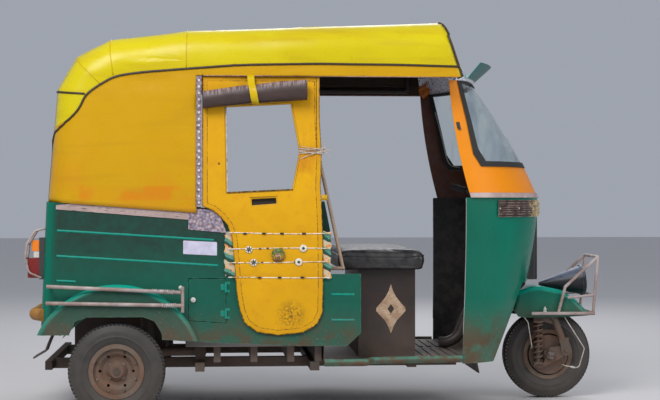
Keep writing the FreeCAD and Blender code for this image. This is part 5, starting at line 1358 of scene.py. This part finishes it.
rough_bump(tree, petals.outputs[0], 0.25)
bm = bmesh.new()
for x0, x1, high, low in ((-0.4535, -0.404, 0.790, 0.612), (-0.046, 0.0075, 0.806, 0.602)):
    rows = []
    for i in range(31):
        z = high + (low - high) * i / 30
        row = []
        for j in range(9):
            t = j / 8
            scallop = 0.003 * sin(i * 0.9) * (1 if (x0 < -0.4 and j == 0) or (x0 > -0.4 and j == 8) else 0)
            x = x0 + (x1 - x0) * t + scallop
            row.append(bm.verts.new((x, -0.5948 - 0.0010 * sin(i * 0.5 + j), z + 0.004 * sin(j * 0.8))))
        rows.append(row)
    quads(rows)
ribbons = from_bmesh("printed_ribbons", bm, ribbon_cloth)
thicken(ribbons, 0.0008, 0.0)
for piece in (lashing, tails, drawn_cords, beads, pale_discs, dark_petals, boss, ribbons):
    fixed(piece)

# Rolled blind

# The rain blind: brown coated cloth rolled up under the valance and held by a
# strap of the hood's cloth. Its upper side carries a painted highlight, pale in
# fine creased streaks.
BLIND_ENDS = (-0.5475, -0.0985)
blind_cloth, tree = blank_material("brown_blind_cloth")
where = place_of(tree)
facing = axes(tree, normal_of(tree))
stretched = node(tree, "ShaderNodeMapping", {"Vector": where, "Scale": (1.0, 0.12, 0.12)})
stripes = node(tree, "ShaderNodeTexNoise", {"Vector": stretched.outputs[0], "Scale": 190.0, "Detail": 3.0})
patches = clouds(tree, 16.0, 1.8)
# Painted highlight: the roll's upper faces are lightened to a pale pinkish grey in creased streaks
top = rescale(tree, plus(tree, facing[2], times(tree, stripes.outputs[0], 0.5)), 0.55, 0.95)
tone = mix_colour(tree, patches, (0.034, 0.018, 0.014), (0.062, 0.034, 0.028))
pale = mix_colour(tree, rescale(tree, stripes.outputs[0], 0.40, 0.60), (0.11, 0.065, 0.060),
                  (0.30, 0.22, 0.22))
tone = mix_colour(tree, top, tone, pale)
finish(tree, tone, 0.48)
rough_bump(tree, plus(tree, stripes.outputs[0], patches), 0.35, 0.0012)
STRAP_X = -0.330


def blind_middle(x):
    t = (x - BLIND_ENDS[0]) / (BLIND_ENDS[1] - BLIND_ENDS[0])
    return Vector((x, -0.6160, 1.3710 + 0.046 * t + 0.004 * sin(pi * t)))


def blind_radius(x, a):
    """Half height of the roll: drawn in at the strap, creased round its girth."""
    t = (x - BLIND_ENDS[0]) / (BLIND_ENDS[1] - BLIND_ENDS[0])
    near = exp(-((x - STRAP_X) / 0.026) ** 2)
    crease = 0.020 * ripple(x * 45, cos(a) * 2, sin(a) * 2)
    crease += 0.035 * ripple(x * 9, cos(a) * 1.2 + 7, sin(a) * 1.2)
    return (0.0380 + 0.0075 * t) * (1.0 - 0.09 * near) * (1.0 + crease * (1.0 - near))


bm = bmesh.new()
TURNS = 3.6
ROUND = 34
rows = []
for i in range(76):
    x = BLIND_ENDS[0] + (BLIND_ENDS[1] - BLIND_ENDS[0]) * i / 75
    middle = blind_middle(x)
    row = []
    for k in range(int(TURNS * ROUND) + 1):
        a = 2 * pi * k / ROUND
        share = 0.62 + 0.38 * k / (TURNS * ROUND)
        r = blind_radius(x, a) * share
        row.append(bm.verts.new(middle + Vector((0, 0.72 * r * sin(a + 2.6), r * cos(a + 2.6)))))
    rows.append(row)
quads(rows)
blind = from_bmesh("rolled_blind", bm, blind_cloth)
thicken(blind, 0.0020, 0.0)
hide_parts("window_blind")
fixed(blind)

# The strap goes over the rail, down the front of the roll and back up behind it
bm = bmesh.new()
rows = []
for j in range(7):
    t = j / 6 - 0.5
    over = [(STRAP_X - 0.010, -0.590, 1.484), (STRAP_X - 0.010, -0.5985, 1.468),
            (STRAP_X - 0.009, -0.6040, 1.455)]
    line = [Vector((x + 0.031 * t, y, z + 0.001 * t)) for x, y, z in over]
    for k in range(23):
        a = radians(-66 + 200 * k / 22)
        x = STRAP_X - 0.008 + 0.026 * k / 22 + 0.031 * t
        middle = blind_middle(x)
        r = blind_radius(x, a)
        line.append(middle + Vector((0, -(0.72 * r + 0.0048) * cos(a), -(r + 0.0048) * sin(a))))
    rows.append([bm.verts.new(p) for p in line])
quads(rows)
strap = from_bmesh("blind_strap", bm, hood_cloth)
thicken(strap, 0.0018, 0.0)
fixed(strap)


# Seats

# The driver's bench is a black grained vinyl cover over foam, welted round its
# top edge and drawn down over a board. The passengers' bench and back are the
# same in dark brown, with sewn channels down the back.
def seat_block(low, high, rise, pull, radius, detail):
    """A crowned cushion: full in its middle, its sides pulled in between the corners."""
    size = Vector(high) - Vector(low)
    middle = (Vector(high) + Vector(low)) / 2
    bm = bmesh.new()
    bmesh.ops.create_cube(bm, size=1.0)
    cuts = [max(1, round(s / detail)) for s in size]
    for axis in range(3):
        direction = Vector([1.0 if k == axis else 0.0 for k in range(3)])
        for k in range(1, cuts[axis]):
            at = direction * (k / cuts[axis] - 0.5)
            bmesh.ops.bisect_plane(bm, geom=bm.verts[:] + bm.edges[:] + bm.faces[:], plane_co=at,
                                   plane_no=direction)
    for v in bm.verts:
        p = Vector([v.co[k] * size[k] for k in range(3)])
        inner = Vector([max(-size[k] / 2 + radius, min(size[k] / 2 - radius, p[k])) for k in range(3)])
        if (p - inner).length > 1e-6:
            reach = max(abs((p - inner)[k]) for k in range(3)) / radius
            p = inner + (p - inner).normalized() * radius * min(1.0, reach)
        v.co = p
        share = [v.co[k] / (size[k] / 2) for k in range(3)]
        crown = (1 - share[0] ** 2) * (1 - share[1] ** 2)
        if v.co.z > 0:
            v.co.z += rise * crown - rise * 0.35 * (abs(share[0]) ** 6 + abs(share[1]) ** 6) * 0.5
        for k in (0, 1):
            other = share[1 - k]
            v.co[k] -= pull * (1 - other ** 2) * (1 if share[k] > 0.97 else -1 if share[k] < -0.97 else 0)
        v.co += middle
    return bm


def swell(piece, voxel, cap, pressure=4.0):
    """Lets the cover of a cushion fill out as cloth over foam, no point by more than a cap."""
    remesh = piece.modifiers.new("even", "REMESH")
    remesh.mode = "VOXEL"
    remesh.voxel_size = voxel
    remesh.use_smooth_shade = True
    keep_shape(piece)
    start = [v.co.copy() for v in piece.data.vertices]
    bottom = min(p.z for p in start)
    pins = piece.vertex_groups.new(name="seated")
    pins.add([k for k, p in enumerate(start) if p.z < bottom + 0.006], 1.0, "REPLACE")
    cloth = piece.modifiers.new("cover", "CLOTH")
    cloth.settings.quality = 4
    cloth.settings.mass = 0.35
    cloth.settings.tension_stiffness = 28
    cloth.settings.compression_stiffness = 28
    cloth.settings.bending_stiffness = 1.2
    cloth.settings.use_pressure = True
    cloth.settings.uniform_pressure_force = pressure
    cloth.settings.effector_weights.gravity = 0.0
    cloth.settings.vertex_group_mass = "seated"
    cloth.collision_settings.use_self_collision = False
    cloth.collision_settings.use_collision = False
    for f in range(1, 21):
        scene.frame_set(f)
    ready = piece.evaluated_get(bpy.context.evaluated_depsgraph_get())
    moved = [v.co.copy() for v in ready.data.vertices]
    piece.modifiers.clear()
    for v, a, b in zip(piece.data.vertices, start, moved):
        step = b - a
        v.co = a + step * min(1.0, cap / max(step.length, 1e-9))
    scene.frame_set(1)


def soften(piece):
    step = piece.modifiers.new("soft", "SUBSURF")
    step.levels = 1
    step.render_levels = 1
    keep_shape(piece)
    for face in piece.data.polygons:
        face.use_smooth = True


def vinyl(name, dark, light, sheen_and_dust):
    """Coated cloth with a pressed leather grain, cloudy with handling; its faces that look up are lighter in
    bluish grey, painted sheen and dust.
    """
    material, tree = blank_material(name)
    where = place_of(tree)
    patches = clouds(tree, 7.0, 1.8, 6.0)
    tone = mix_colour(tree, patches, dark, light)
    facing = axes(tree, normal_of(tree))
    # Painted highlight and dust: faces that look up are lightened to a bluish grey, and made rougher
    film = times(tree, rescale(tree, facing[2], 0.5, 1.0), sheen_and_dust)
    film = times(tree, film, rescale(tree, patches, 0.2, 0.8, 0.5, 1.0))
    tone = mix_colour(tree, film, tone, (0.16, 0.17, 0.19))
    scuffs = clouds(tree, 30.0, 6.0, 9.0)
    tone = mix_colour(tree, times(tree, scuffs, 0.10), tone, (0.20, 0.17, 0.15))
    tree.links.new(tone, inputs_of(tree)["Base Color"])
    tree.links.new(rescale(tree, plus(tree, film, times(tree, scuffs, 0.3)), 0, 0.6, 0.30, 0.55),
                   inputs_of(tree)["Roughness"])
    grain = node(tree, "ShaderNodeTexVoronoi", {"Vector": where, "Scale": 330.0}, feature="SMOOTH_F1")
    wrinkle = node(tree, "ShaderNodeTexNoise", {"Vector": where, "Scale": 26.0, "Detail": 5.0,
                                                "Distortion": 0.8})
    relief = plus(tree, times(tree, grain.outputs[0], 0.30), wrinkle.outputs[0])
    rough_bump(tree, relief, 0.28, 0.0016)
    return material


black_vinyl = vinyl("black_grained_vinyl", (0.009, 0.009, 0.010), (0.020, 0.019, 0.020), 0.10)
brown_vinyl = vinyl("brown_grained_vinyl", (0.030, 0.017, 0.012), (0.055, 0.032, 0.024), 0.16)


def creases(piece, strength, top):
    """Shallow random pulls in the cover, with more of them below its top edge."""
    for v in piece.data.vertices:
        p = v.co
        pull = ripple(p.x * 9, p.y * 6, p.z * 3) + 0.6 * ripple(p.x * 24, p.y * 17, p.z * 12)
        if p.z < top - 0.02:
            pull += 0.9 * ripple(p.x * 30 + 4, p.y * 30, p.z * 5)
        v.co = p + v.normal * strength * pull


def welt_round(name, low, high, z, radius, thick, material, surface, wave=0.0):
    """The welt that joins a cushion's top panel to its band, laid on the cover."""
    pts = []
    for k in range(4):
        cx = (high[0] - radius) if k in (0, 3) else (low[0] + radius)
        cy = (high[1] - radius) if k in (0, 1) else (low[1] + radius)
        for j in range(9):
            a = pi / 2 * (k + j / 8)
            pts.append(Vector((cx + radius * cos(a), cy + radius * sin(a), z)))
    pts = along(pts + [pts[0]], 0.02)[:-1]
    line = []
    for p in pts:
        p = p + Vector((0, 0, wave * noise.noise(p * 7)))
        spot, normal, _, _ = surface.find_nearest(p)
        line.append(spot + normal * thick * 0.25)
    bm = bmesh.new()
    sweep(bm, line, thick, 8, closed=True)
    return from_bmesh(name, bm, material)


def cushion_from(name, node_name, material, inset, rise, pull, radius, cap, welt_at):
    """Builds, fills and welts one cushion in the place of its CAD block."""
    low, high = (Vector(c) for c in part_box(node_name))
    a = low + Vector((inset, inset, 0.0006))
    b = high - Vector((inset, inset, inset + rise * 0.4))
    bm = seat_block(a, b, rise, pull, radius, 0.018)
    piece = from_bmesh(name, bm, material)
    swell(piece, 0.0075, cap)
    creases(piece, 0.0011, high.z)
    soften(piece)
    for v in piece.data.vertices:
        v.co.z = max(v.co.z, low.z)
    surface = BVHTree.FromObject(piece, bpy.context.evaluated_depsgraph_get())
    welt = welt_round(name + "_welt", a, b, high.z - welt_at, radius, 0.0034, material, surface, 0.004)
    for part in (piece, welt):
        fixed(part)
    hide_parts(node_name)
    return piece, surface


cushion_from("driver_bench", "driver_seat", black_vinyl, 0.006, 0.012, 0.006, 0.034, 0.008, 0.026)
cushion_from("passenger_bench", "bench_cushion", brown_vinyl, 0.006, 0.014, 0.006, 0.032, 0.008, 0.030)

# The passengers' back: five channels sewn from top to bottom, with a border
low, high = (Vector(c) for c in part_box("bench_back"))
bm = seat_block(low + Vector((0.006, 0.008, 0.002)), high - Vector((0.010, 0.008, 0.010)), 0.004, 0.004,
                0.030, 0.018)
back_pad = from_bmesh("passenger_back", bm, brown_vinyl)
swell(back_pad, 0.0075, 0.006)
half = (high.y - low.y) / 2
for v in back_pad.data.vertices:
    if v.normal.x > 0.3:
        t = abs(((v.co.y / half) * 3.5 + 0.5) % 1.0 - 0.5)
        border = min(abs(v.co.z - low.z), abs(high.z - v.co.z)) > 0.055
        v.co.x -= 0.0065 * exp(-((t) / 0.07) ** 2) * (1 if border else 0)
creases(back_pad, 0.0009, high.z)
soften(back_pad)
for v in back_pad.data.vertices:
    v.co.x = min(v.co.x, high.x + 0.004)
    v.co.z = max(v.co.z, low.z)
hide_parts("bench_back")
fixed(back_pad)

# Seat base

# A dark brown sheet box under the driver's bench. On each side is a bronze
# plate cut to a pointed leaf shape, with a lozenge hole at its middle.
bronze, tree = blank_material("pale_bronze")
where = place_of(tree)
patches = clouds(tree, 26.0, 3.0, 8.0)
tone = mix_colour(tree, patches, (0.36, 0.22, 0.13), (0.62, 0.45, 0.31))
scratched = node(tree, "ShaderNodeMapping", {"Vector": where, "Scale": (1.0, 1.0, 5.0)})
lines = node(tree, "ShaderNodeTexNoise", {"Vector": scratched.outputs[0], "Scale": 60.0, "Detail": 4.0})
tone = mix_colour(tree, rescale(tree, lines.outputs[0], 0.56, 0.68, 0.0, 0.7), tone, (0.12, 0.07, 0.04))
finish(tree, tone, 0.45)
inputs_of(tree)["Metallic"].default_value = 0.35
rough_bump(tree, patches, 0.25)
LEAF = ((0.0, 0.111), (0.010, 0.080), (0.024, 0.053), (0.047, 0.025), (0.066, 0.004), (0.067, -0.010),
        (0.048, -0.030),
        (0.026, -0.054), (0.012, -0.080), (0.0, -0.112))
LOZENGE = ((0.0, 0.022), (0.0155, 0.0), (0.0, -0.023), (-0.0155, 0.0))
base_low, base_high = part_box("seat_base")
bm = bmesh.new()
outline = list(LEAF) + [(-x, z) for x, z in reversed(LEAF[1:-1])]
spots, faces = cut_cloth(outline, [LOZENGE], 0.006)
for side, y in ((-1, base_low[1]), (1, base_high[1])):
    made = [bm.verts.new((0.297 + p.x, y + side * (0.0022 + 0.0010 * exp(-(p.x / 0.01) ** 2)),
                          0.451 + p.y)) for p in spots]
    for face in faces:
        bm.faces.new([made[k] for k in face])
    back = [bm.verts.new((v.co.x, y + side * 0.0003, v.co.z)) for v in made]
    for face in faces:
        bm.faces.new([back[k] for k in reversed(face)])
    rim_edges = {}
    for face in faces:
        for a, b in zip(face, list(face[1:]) + [face[0]]):
            key = (min(a, b), max(a, b))
            rim_edges[key] = None if key in rim_edges else (a, b)
    for pair in rim_edges.values():
        if pair:
            a, b = pair
            bm.faces.new((made[a], made[b], back[b], back[a]))
leaf = from_bmesh("seat_base_leaf", bm, bronze, smooth=False)
fixed(leaf)


# Cowl trim

# Small fittings of the front cowl: a pale strip down its rear edge and a bright
# strip in the gasket's lip, both painted highlights, a clip on the pillar, a
# folded gusset at the head of the far pillar, and the screws of the ribbed
# garnish and bright strip.
def node_surface(name):
    """The surface of a CAD node, to lay things on."""
    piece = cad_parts[name]
    spots = [piece.matrix_world @ v.co for v in piece.data.vertices]
    return BVHTree.FromPolygons(spots, [tuple(p.vertices) for p in piece.data.polygons])


def plate(bm, centre, u, v, thick, corner=0.0, steps=4):
    """A flat plate lying on a point, spanned by two half-axes, with rounded corners."""
    centre, u, v = Vector(centre), Vector(u), Vector(v)
    lift = u.cross(v).normalized() * thick
    outline = []
    for k, (a, b) in enumerate(((1, 1), (-1, 1), (-1, -1), (1, -1))):
        for j in range(steps + 1 if corner else 1):
            turn = pi / 2 * (k + j / steps)
            cu = a * (u.length - corner) + corner * cos(turn)
            cv = b * (v.length - corner) + corner * sin(turn)
            outline.append(centre + u.normalized() * cu + v.normalized() * cv)
    capped(bm, [[bm.verts.new(p + rise) for p in outline] for rise in (Vector(), lift)])


def dome(bm, at, across, radius, height, rings=5, count=16):
    """A round head standing on a point, its axis given."""
    at, across = Vector(at), Vector(across).normalized()
    u = across.orthogonal().normalized()
    w = across.cross(u)
    rows = []
    for i in range(rings):
        t = pi / 2 * i / rings
        r, h = radius * cos(t), height * sin(t)
        rows.append([bm.verts.new(at + across * h + u * a + w * b) for a, b in circle(r, count)])
    tip = bm.verts.new(at + across * height)
    bridge(bm, rows)
    for k in range(count):
        bm.faces.new((rows[-1][k], rows[-1][(k + 1) % count], tip))
    bm.faces.new(rows[0])


pale_edge_highlight_strip = painted_steel("pale_edge_highlight_strip", (0.40, 0.44, 0.42), 0.45, 0.5, 0.4, 0.25, 0.4)
bright_screw = painted_steel("bright_screw_head", (0.72, 0.69, 0.66), 0.3, 0.4, 0.2, 0.15, 0.3)
lower_skin = node_surface("cowl_lower")
gasket_skin = node_surface("windscreen_gasket")
bm = bmesh.new()
# Painted highlight: a thin pale strip down the cowl's rear edge stands in for the light on that edge
for side in (-1, 1):
    sweep(bm, laid_on(lower_skin, [(0.6165, side * 0.51, 0.948), (0.6165, side * 0.505, 0.74),
                                   (0.614, side * 0.49, 0.50),
                                   (0.609, side * 0.47, 0.34)], 0.02, 0.0006, 2), 0.0016, 6)
fixed(from_bmesh("cowl_edge_highlight_strip", bm, pale_edge_highlight_strip))
# Painted highlight: a bright strip in the gasket's lip stands in for the light along it
bm = bmesh.new()
for side in (-1, 1):
    lip = [(0.5975, side * 0.44, 1.462), (0.6415, side * 0.44, 1.292), (0.6685, side * 0.44, 1.170),
           (0.6800, side * 0.44, 1.125),
           (0.7080, side * 0.44, 1.1085), (0.7600, side * 0.42, 1.1080), (0.8200, side * 0.36, 1.1080)]
    sweep(bm, laid_on(gasket_skin, lip, 0.012, 0.0004, 4), 0.0019, 6)
fixed(from_bmesh("gasket_lip_highlight_strip", bm, bright_screw))

clip_black, tree = blank_material("black_moulded_clip")
finish(tree, (0.016, 0.016, 0.018, 1), 0.4)
upper_skin = node_surface("cowl_upper")
bm = bmesh.new()
spot, normal, _, _ = upper_skin.find_nearest(Vector((0.5900, -0.50, 1.272)))
down = Vector((0.022, 0, -0.1)).normalized()
ahead = normal.cross(down).normalized()
plate(bm, spot + normal * 0.0004, ahead * 0.0085, down * 0.020, 0.007, 0.003)
plate(bm, spot + normal * 0.0070 + down * 0.009, ahead * 0.0060, down * 0.007, 0.004, 0.002)
clip = from_bmesh("pillar_clip", bm, clip_black, smooth=False)
fixed(clip)

# Gusset: orange cloth-backed sheet folded between the far pillar and the roof rail
gusset_cloth = mottled("faded_orange_gusset", (30.0, 2.4, 6.0), (0.42, 0.085, 0.010), (0.70, 0.22, 0.020),
                       0.6, 0.35, 0.0015)
bm = bmesh.new()
GUSSET = (                   # rows across the fold, from the pillar to the rail: x, y, z at both ends
    ((0.556, 0.4560, 1.452), (0.660, 0.4470, 1.535)), ((0.545, 0.4440, 1.470), (0.640, 0.4360, 1.548)),
    ((0.535, 0.4560, 1.490), (0.615, 0.4480, 1.556)), ((0.532, 0.4450, 1.512), (0.590, 0.4360, 1.560)),
)
rows = []
for i in range(len(GUSSET) - 1):
    for t in (j / 6 for j in range(6)):
        a, b = (Vector(p).lerp(Vector(q), t) for p, q in zip(GUSSET[i], GUSSET[i + 1]))
        waves = [Vector((0, 0.0025 * ripple(i + t, k * 0.4, 2.0),
                         -0.006 * sin(pi * k / 16))) for k in range(17)]
        rows.append([bm.verts.new(a.lerp(b, k / 16) + wave) for k, wave in enumerate(waves)])
quads(rows)
gusset = from_bmesh("pillar_gusset", bm, gusset_cloth)
thicken(gusset, 0.0020, 0.0)
fixed(gusset)

# Screws of the bright strip and of the garnish lamps
trim_skin = node_surface("cowl_trim")
lamp_skin = node_surface("corner_lamps")
bm = bmesh.new()
for surface, spots in ((trim_skin, ((0.66, 0.50, 0.964), (0.80, 0.46, 0.964), (0.93, 0.36, 0.964),
                                    (1.01, 0.2, 0.964))),
                       (lamp_skin, ((0.786, 0.48, 0.9045), (0.90, 0.42, 0.9045)))):
    for x, y, z in spots:
        for side in (-1, 1):
            spot, normal, _, _ = surface.find_nearest(Vector((x, side * y, z)))
            dome(bm, spot - normal * 0.0004, normal, 0.0042, 0.0022, 3, 12)
fixed(from_bmesh("cowl_screws", bm, bright_screw))

# Garnish: dark brown ribs with painted highlights in pale lines on their edges, gilded at the front end
garnish, tree = blank_material("ribbed_garnish_gilt")
at = axes(tree)
patches = clouds(tree, 40.0, 3.0, 6.0)
tone = mix_colour(tree, patches, (0.030, 0.014, 0.010), (0.070, 0.032, 0.022))
broken = clouds(tree, 85.0, 5.0, 6.0)
gilt = mix_colour(tree, broken, (0.10, 0.05, 0.015), (0.80, 0.56, 0.16))
start = plus(tree, at[0], times(tree, patches, 0.05))
tone = mix_colour(tree, rescale(tree, start, 0.965, 1.000), tone, gilt)
# Painted highlight: the rib edges are lightened to a pale line
rib_edge_highlight = use(tree, EDGE_WEAR_AND_HIGHLIGHT, Amount=1.0, Radius=0.004, Scale=30.0)
tone = mix_colour(tree, rib_edge_highlight["Mask"], tone, (0.70, 0.58, 0.50))
finish(tree, tone, 0.28)
rough_bump(tree, broken, 0.3)
dress(["corner_lamps"], garnish)

# Header: white film printed with a lace of small dark dots
lace, tree = blank_material("white_lace_film")
where = place_of(tree)
dots = node(tree, "ShaderNodeTexVoronoi", {"Vector": where, "Scale": 110.0})
patches = clouds(tree, 14.0, 2.0)
tone = mix_colour(tree, patches, (0.62, 0.64, 0.74), (0.84, 0.85, 0.90))
dotted = times(tree, rescale(tree, dots.outputs[0], 0.40, 0.30), rescale(tree, patches, 0.1, 0.5, 0.5, 1.0))
tone = mix_colour(tree, dotted, tone, (0.030, 0.040, 0.110))
finish(tree, tone, 0.32)
dress(["header_panel"], lace)
# Sun visor: teal film with a pale hem; its faces that look down get painted shade, a darker teal
teal_film, tree = blank_material("teal_visor_film")
where = place_of(tree)
facing = axes(tree, normal_of(tree))
patches = clouds(tree, 12.0, 2.0)
tone = mix_colour(tree, patches, (0.003, 0.24, 0.21), (0.008, 0.42, 0.37))
tone = mix_colour(tree, rescale(tree, facing[2], -0.2, -0.6), tone, (0.005, 0.110, 0.100))
hem = rescale(tree, axes(tree)[2], 1.492, 1.486)
tone = mix_colour(tree, hem, tone, (0.74, 0.74, 0.78))
finish(tree, tone, 0.38)
dress(["sun_visor"], teal_film)

# Glass: clear, with dust wiped into long slanting streaks
tree = clear.node_tree
where = place_of(tree)
slanted = node(tree, "ShaderNodeMapping", {"Vector": where, "Rotation": (0, 0.5, 0),
                                           "Scale": (9.0, 1.5, 1.2)})
dust_streaks_and_fold_shade = node(tree, "ShaderNodeTexNoise", {"Vector": slanted.outputs[0], "Scale": 2.2, "Detail": 6.0})
wiped = rescale(tree, dust_streaks_and_fold_shade.outputs[0], 0.45, 0.75)
finish(tree, mix_colour(tree, wiped, (0.90, 0.95, 0.94), (0.62, 0.70, 0.76)), times(tree, wiped, 0.22))


# Front fork

# Fittings of the steered end: pale plastic-sheathed brake cables with a short
# white sleeve, a square axle nut, bolts of the guard and the lamp's top, lighter
# with painted sheen and dust.
sheath = mottled("pale_cable_sheath", (30.0, 2.4), (0.30, 0.25, 0.21), (0.58, 0.53, 0.48), 0.5)
dress(["brake_cables"], sheath)
bm = bmesh.new()
sweep(bm, [(1.1800 + 0.0050 * k, -0.1030, 0.1540 - 0.0010 * k) for k in range(5)], 0.0048, 12)
fixed(from_bmesh("cable_sleeve", bm, bright_screw), "steering")
bm = bmesh.new()
turn = Matrix.Rotation(radians(12), 4, "Y")
axle = Vector((1.085, 0, WHEEL_R))
square = ((1, 1), (-1, 1), (-1, -1), (1, -1))
for half, y0, y1 in ((0.0165, -0.1045, -0.1150), (0.0110, -0.1150, -0.1195)):
    ends = ((half, y0), (half * 0.9, y1))
    capped(bm, [[bm.verts.new(turn @ Vector((a * r, y, b * r)) + axle) for a, b in square] for r, y in ends])
fixed(from_bmesh("axle_nut", bm, worn_steel, smooth=False), "steering")
bm = bmesh.new()
for side in (-1, 1):
    for z in (0.4160, 0.4255):
        dome(bm, (1.0535, side * 0.125, z), (0, 0, 1), 0.0095, 0.0088, 3, 6)
    sweep(bm, [(1.0535, side * 0.125, 0.410 + 0.006 * k) for k in range(6)], 0.0040, 10)
fixed(from_bmesh("guard_bolts", bm, bright_screw, smooth=False), "steering")

# Headlamp: black shell with worn edges, its upper side lighter in blue-grey, painted sheen and dust
shell, tree = blank_material("lamp_shell_sheen_and_dust")
where = place_of(tree)
facing = axes(tree, normal_of(tree))
patches = clouds(tree, 32.0, 3.0, 9.0)
# Painted highlight and dust: the upper side is lightened to a blue-grey
up = rescale(tree, plus(tree, facing[2], times(tree, patches, 0.25)), 0.35, 1.05)
tone = mix_colour(tree, up, (0.012, 0.012, 0.016), (0.16, 0.19, 0.27))
worn = use(tree, EDGE_WEAR_AND_HIGHLIGHT, Amount=0.7, Radius=0.003, Scale=60.0)
tone = mix_colour(tree, worn["Mask"], tone, (0.40, 0.40, 0.44))
finish(tree, tone, rescale(tree, patches, 0, 1, 0.30, 0.55))
dress(["headlamp"], shell)


# Side fittings

# What is bolted to the tub: a blank number plate, the flap's lock, round bolts,
# the grey wrapping on the guard bars and the shallow tray behind the fuel flap,
# near-black as painted shade.
plate_white = mottled("blank_plate", (30.0, 2.6, 7.0), (0.44, 0.42, 0.56), (0.62, 0.60, 0.72), 0.5, 0.2)
bm = bmesh.new()
plate(bm, (-0.5585, -0.5904, 0.735), (0.0725, 0, -0.0036), (0, 0, 0.029), 0.0016, 0.003)
fixed(from_bmesh("side_plate", bm, plate_white, smooth=False))
# Painted shade: the tray behind the fuel flap is a near-black green, the shade in that recess
tray_shade, tree = blank_material("shaded_filler_tray")
finish(tree, (0.006, 0.016, 0.013, 1), 0.6)
bm = bmesh.new()
tray_size = Matrix.Translation((-0.5275, -0.5640, 0.5070)) @ Matrix.Diagonal((0.168, 0.0320, 0.204, 1))
bmesh.ops.create_cube(bm, size=1.0, matrix=tray_size)
bmesh.ops.delete(bm, geom=[f for f in bm.faces if f.normal.y < -0.5], context="FACES")
tray = from_bmesh("filler_tray", bm, tray_shade, smooth=False)
thicken(tray, 0.0015, 0.0)
fixed(tray)
bm = bmesh.new()
dome(bm, (-0.588, -0.5959, 0.512), (0, -1, 0), 0.0112, 0.0020, 4, 24)
dome(bm, (-0.588, -0.5975, 0.512), (0, -1, 0), 0.0046, 0.0022, 3, 16)
fixed(from_bmesh("flap_lock", bm, bright_screw), "filler_flap")
bm = bmesh.new()
for x, z in ((-0.7995, 0.5268), (-0.6420, 0.5640)):
    for y, radius, height in ((-0.5899, 0.0095, 0.0022), (-0.5920, 0.0055, 0.0060)):
        dome(bm, (x, y, z), (0, -1, 0), radius, height, 4, 16)
fixed(from_bmesh("guard_fixings", bm, bright_screw))

# Wrapping: strips of silver tape wound tightly round the front end of each bar
tape = mottled("silver_wrapping", (70.0, 3.6, 8.0), (0.16, 0.12, 0.11), (0.66, 0.62, 0.62), 0.45, 0.4)
bm = bmesh.new()
GUARD_Y = -0.648
for x0, z0, x1, z1 in ((-0.762, 0.5531, -0.668, 0.5484), (-0.722, 0.4930, -0.664, 0.4917)):
    line = []
    for k in range(181):
        t = k / 180
        a = 2 * pi * t * (x1 - x0) / 0.0080
        line.append((x0 + (x1 - x0) * t, GUARD_Y + 0.0086 * cos(a), z0 + (z1 - z0) * t + 0.0086 * sin(a)))
    sweep(bm, line, 0.0021, 5)
fixed(from_bmesh("bar_wrapping", bm, tape))

# The head of the studded strip, bent over under the valance, and the sheet
# corner that closes the doorway behind the curtain's rear edge
bm = bmesh.new()
plate(bm, (-0.5635, -0.5925, 1.4620), (0.0115, 0, 0), (0, 0.0003, 0.0155), 0.0020)
fixed(from_bmesh("strip_head", bm, strip_metal, smooth=False))
bm = bmesh.new()
plate(bm, (-0.4600, -0.5840, 0.855), (0.0450, 0, 0), (0, 0, 0.0500), 0.0015, 0.004)
fixed(from_bmesh("doorway_corner", bm, side_green, smooth=False))

# Gusset: a dark green sheet corner between the hoop and its stay
bm = bmesh.new()
for side in (-1, 1):
    flat = [(-0.0450, 0.936), (-0.0120, 0.936), (0.0150, 0.800), (0.0180, 0.660), (-0.0450, 0.660)]
    capped(bm, [[bm.verts.new((x, side * y, z)) for x, z in flat] for y in (0.4700, 0.4680)])
fixed(from_bmesh("hoop_gussets", bm, side_green, smooth=False))

# Lamp clusters: an orange lens, a pale one below it and a deep red one
lenses, tree = blank_material("lamp_cluster_lenses")
at = axes(tree)
tone = mix_colour(tree, rescale(tree, at[2], 0.692, 0.694), (0.20, 0.012, 0.010), (0.62, 0.56, 0.52))
tone = mix_colour(tree, rescale(tree, at[2], 0.7205, 0.7215), tone, (0.86, 0.22, 0.010))
base = rescale(tree, at[0], -1.2520, -1.2500)
tone = mix_colour(tree, base, tone, (0.05, 0.045, 0.045))
finish(tree, tone, 0.16)
ribs = node(tree, "ShaderNodeTexWave", {"Vector": place_of(tree), "Scale": 34.0},
            bands_direction="Z")
rough_bump(tree, ribs.outputs[1], 0.4, 0.0012)
dress(["rear_lamps"], lenses)

# Hem binding: pinkish-brown tape sewn inside the lower edge of both valances
hem_tape = mottled("pinkish_hem_tape", (60.0, 2.6), (0.20, 0.09, 0.07), (0.46, 0.27, 0.22), 0.6)
bm = bmesh.new()
for side in (-1, 1):
    inner = [(-0.545 + 0.0185 * k, side * 0.5890, 1.4790) for k in range(61)]
    sweep(bm, inner, 0.0030, 6)
fixed(from_bmesh("valance_hem", bm, hem_tape))


# The end

# The bounds of everything that is drawn, floor left out, in metres.
low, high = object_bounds()
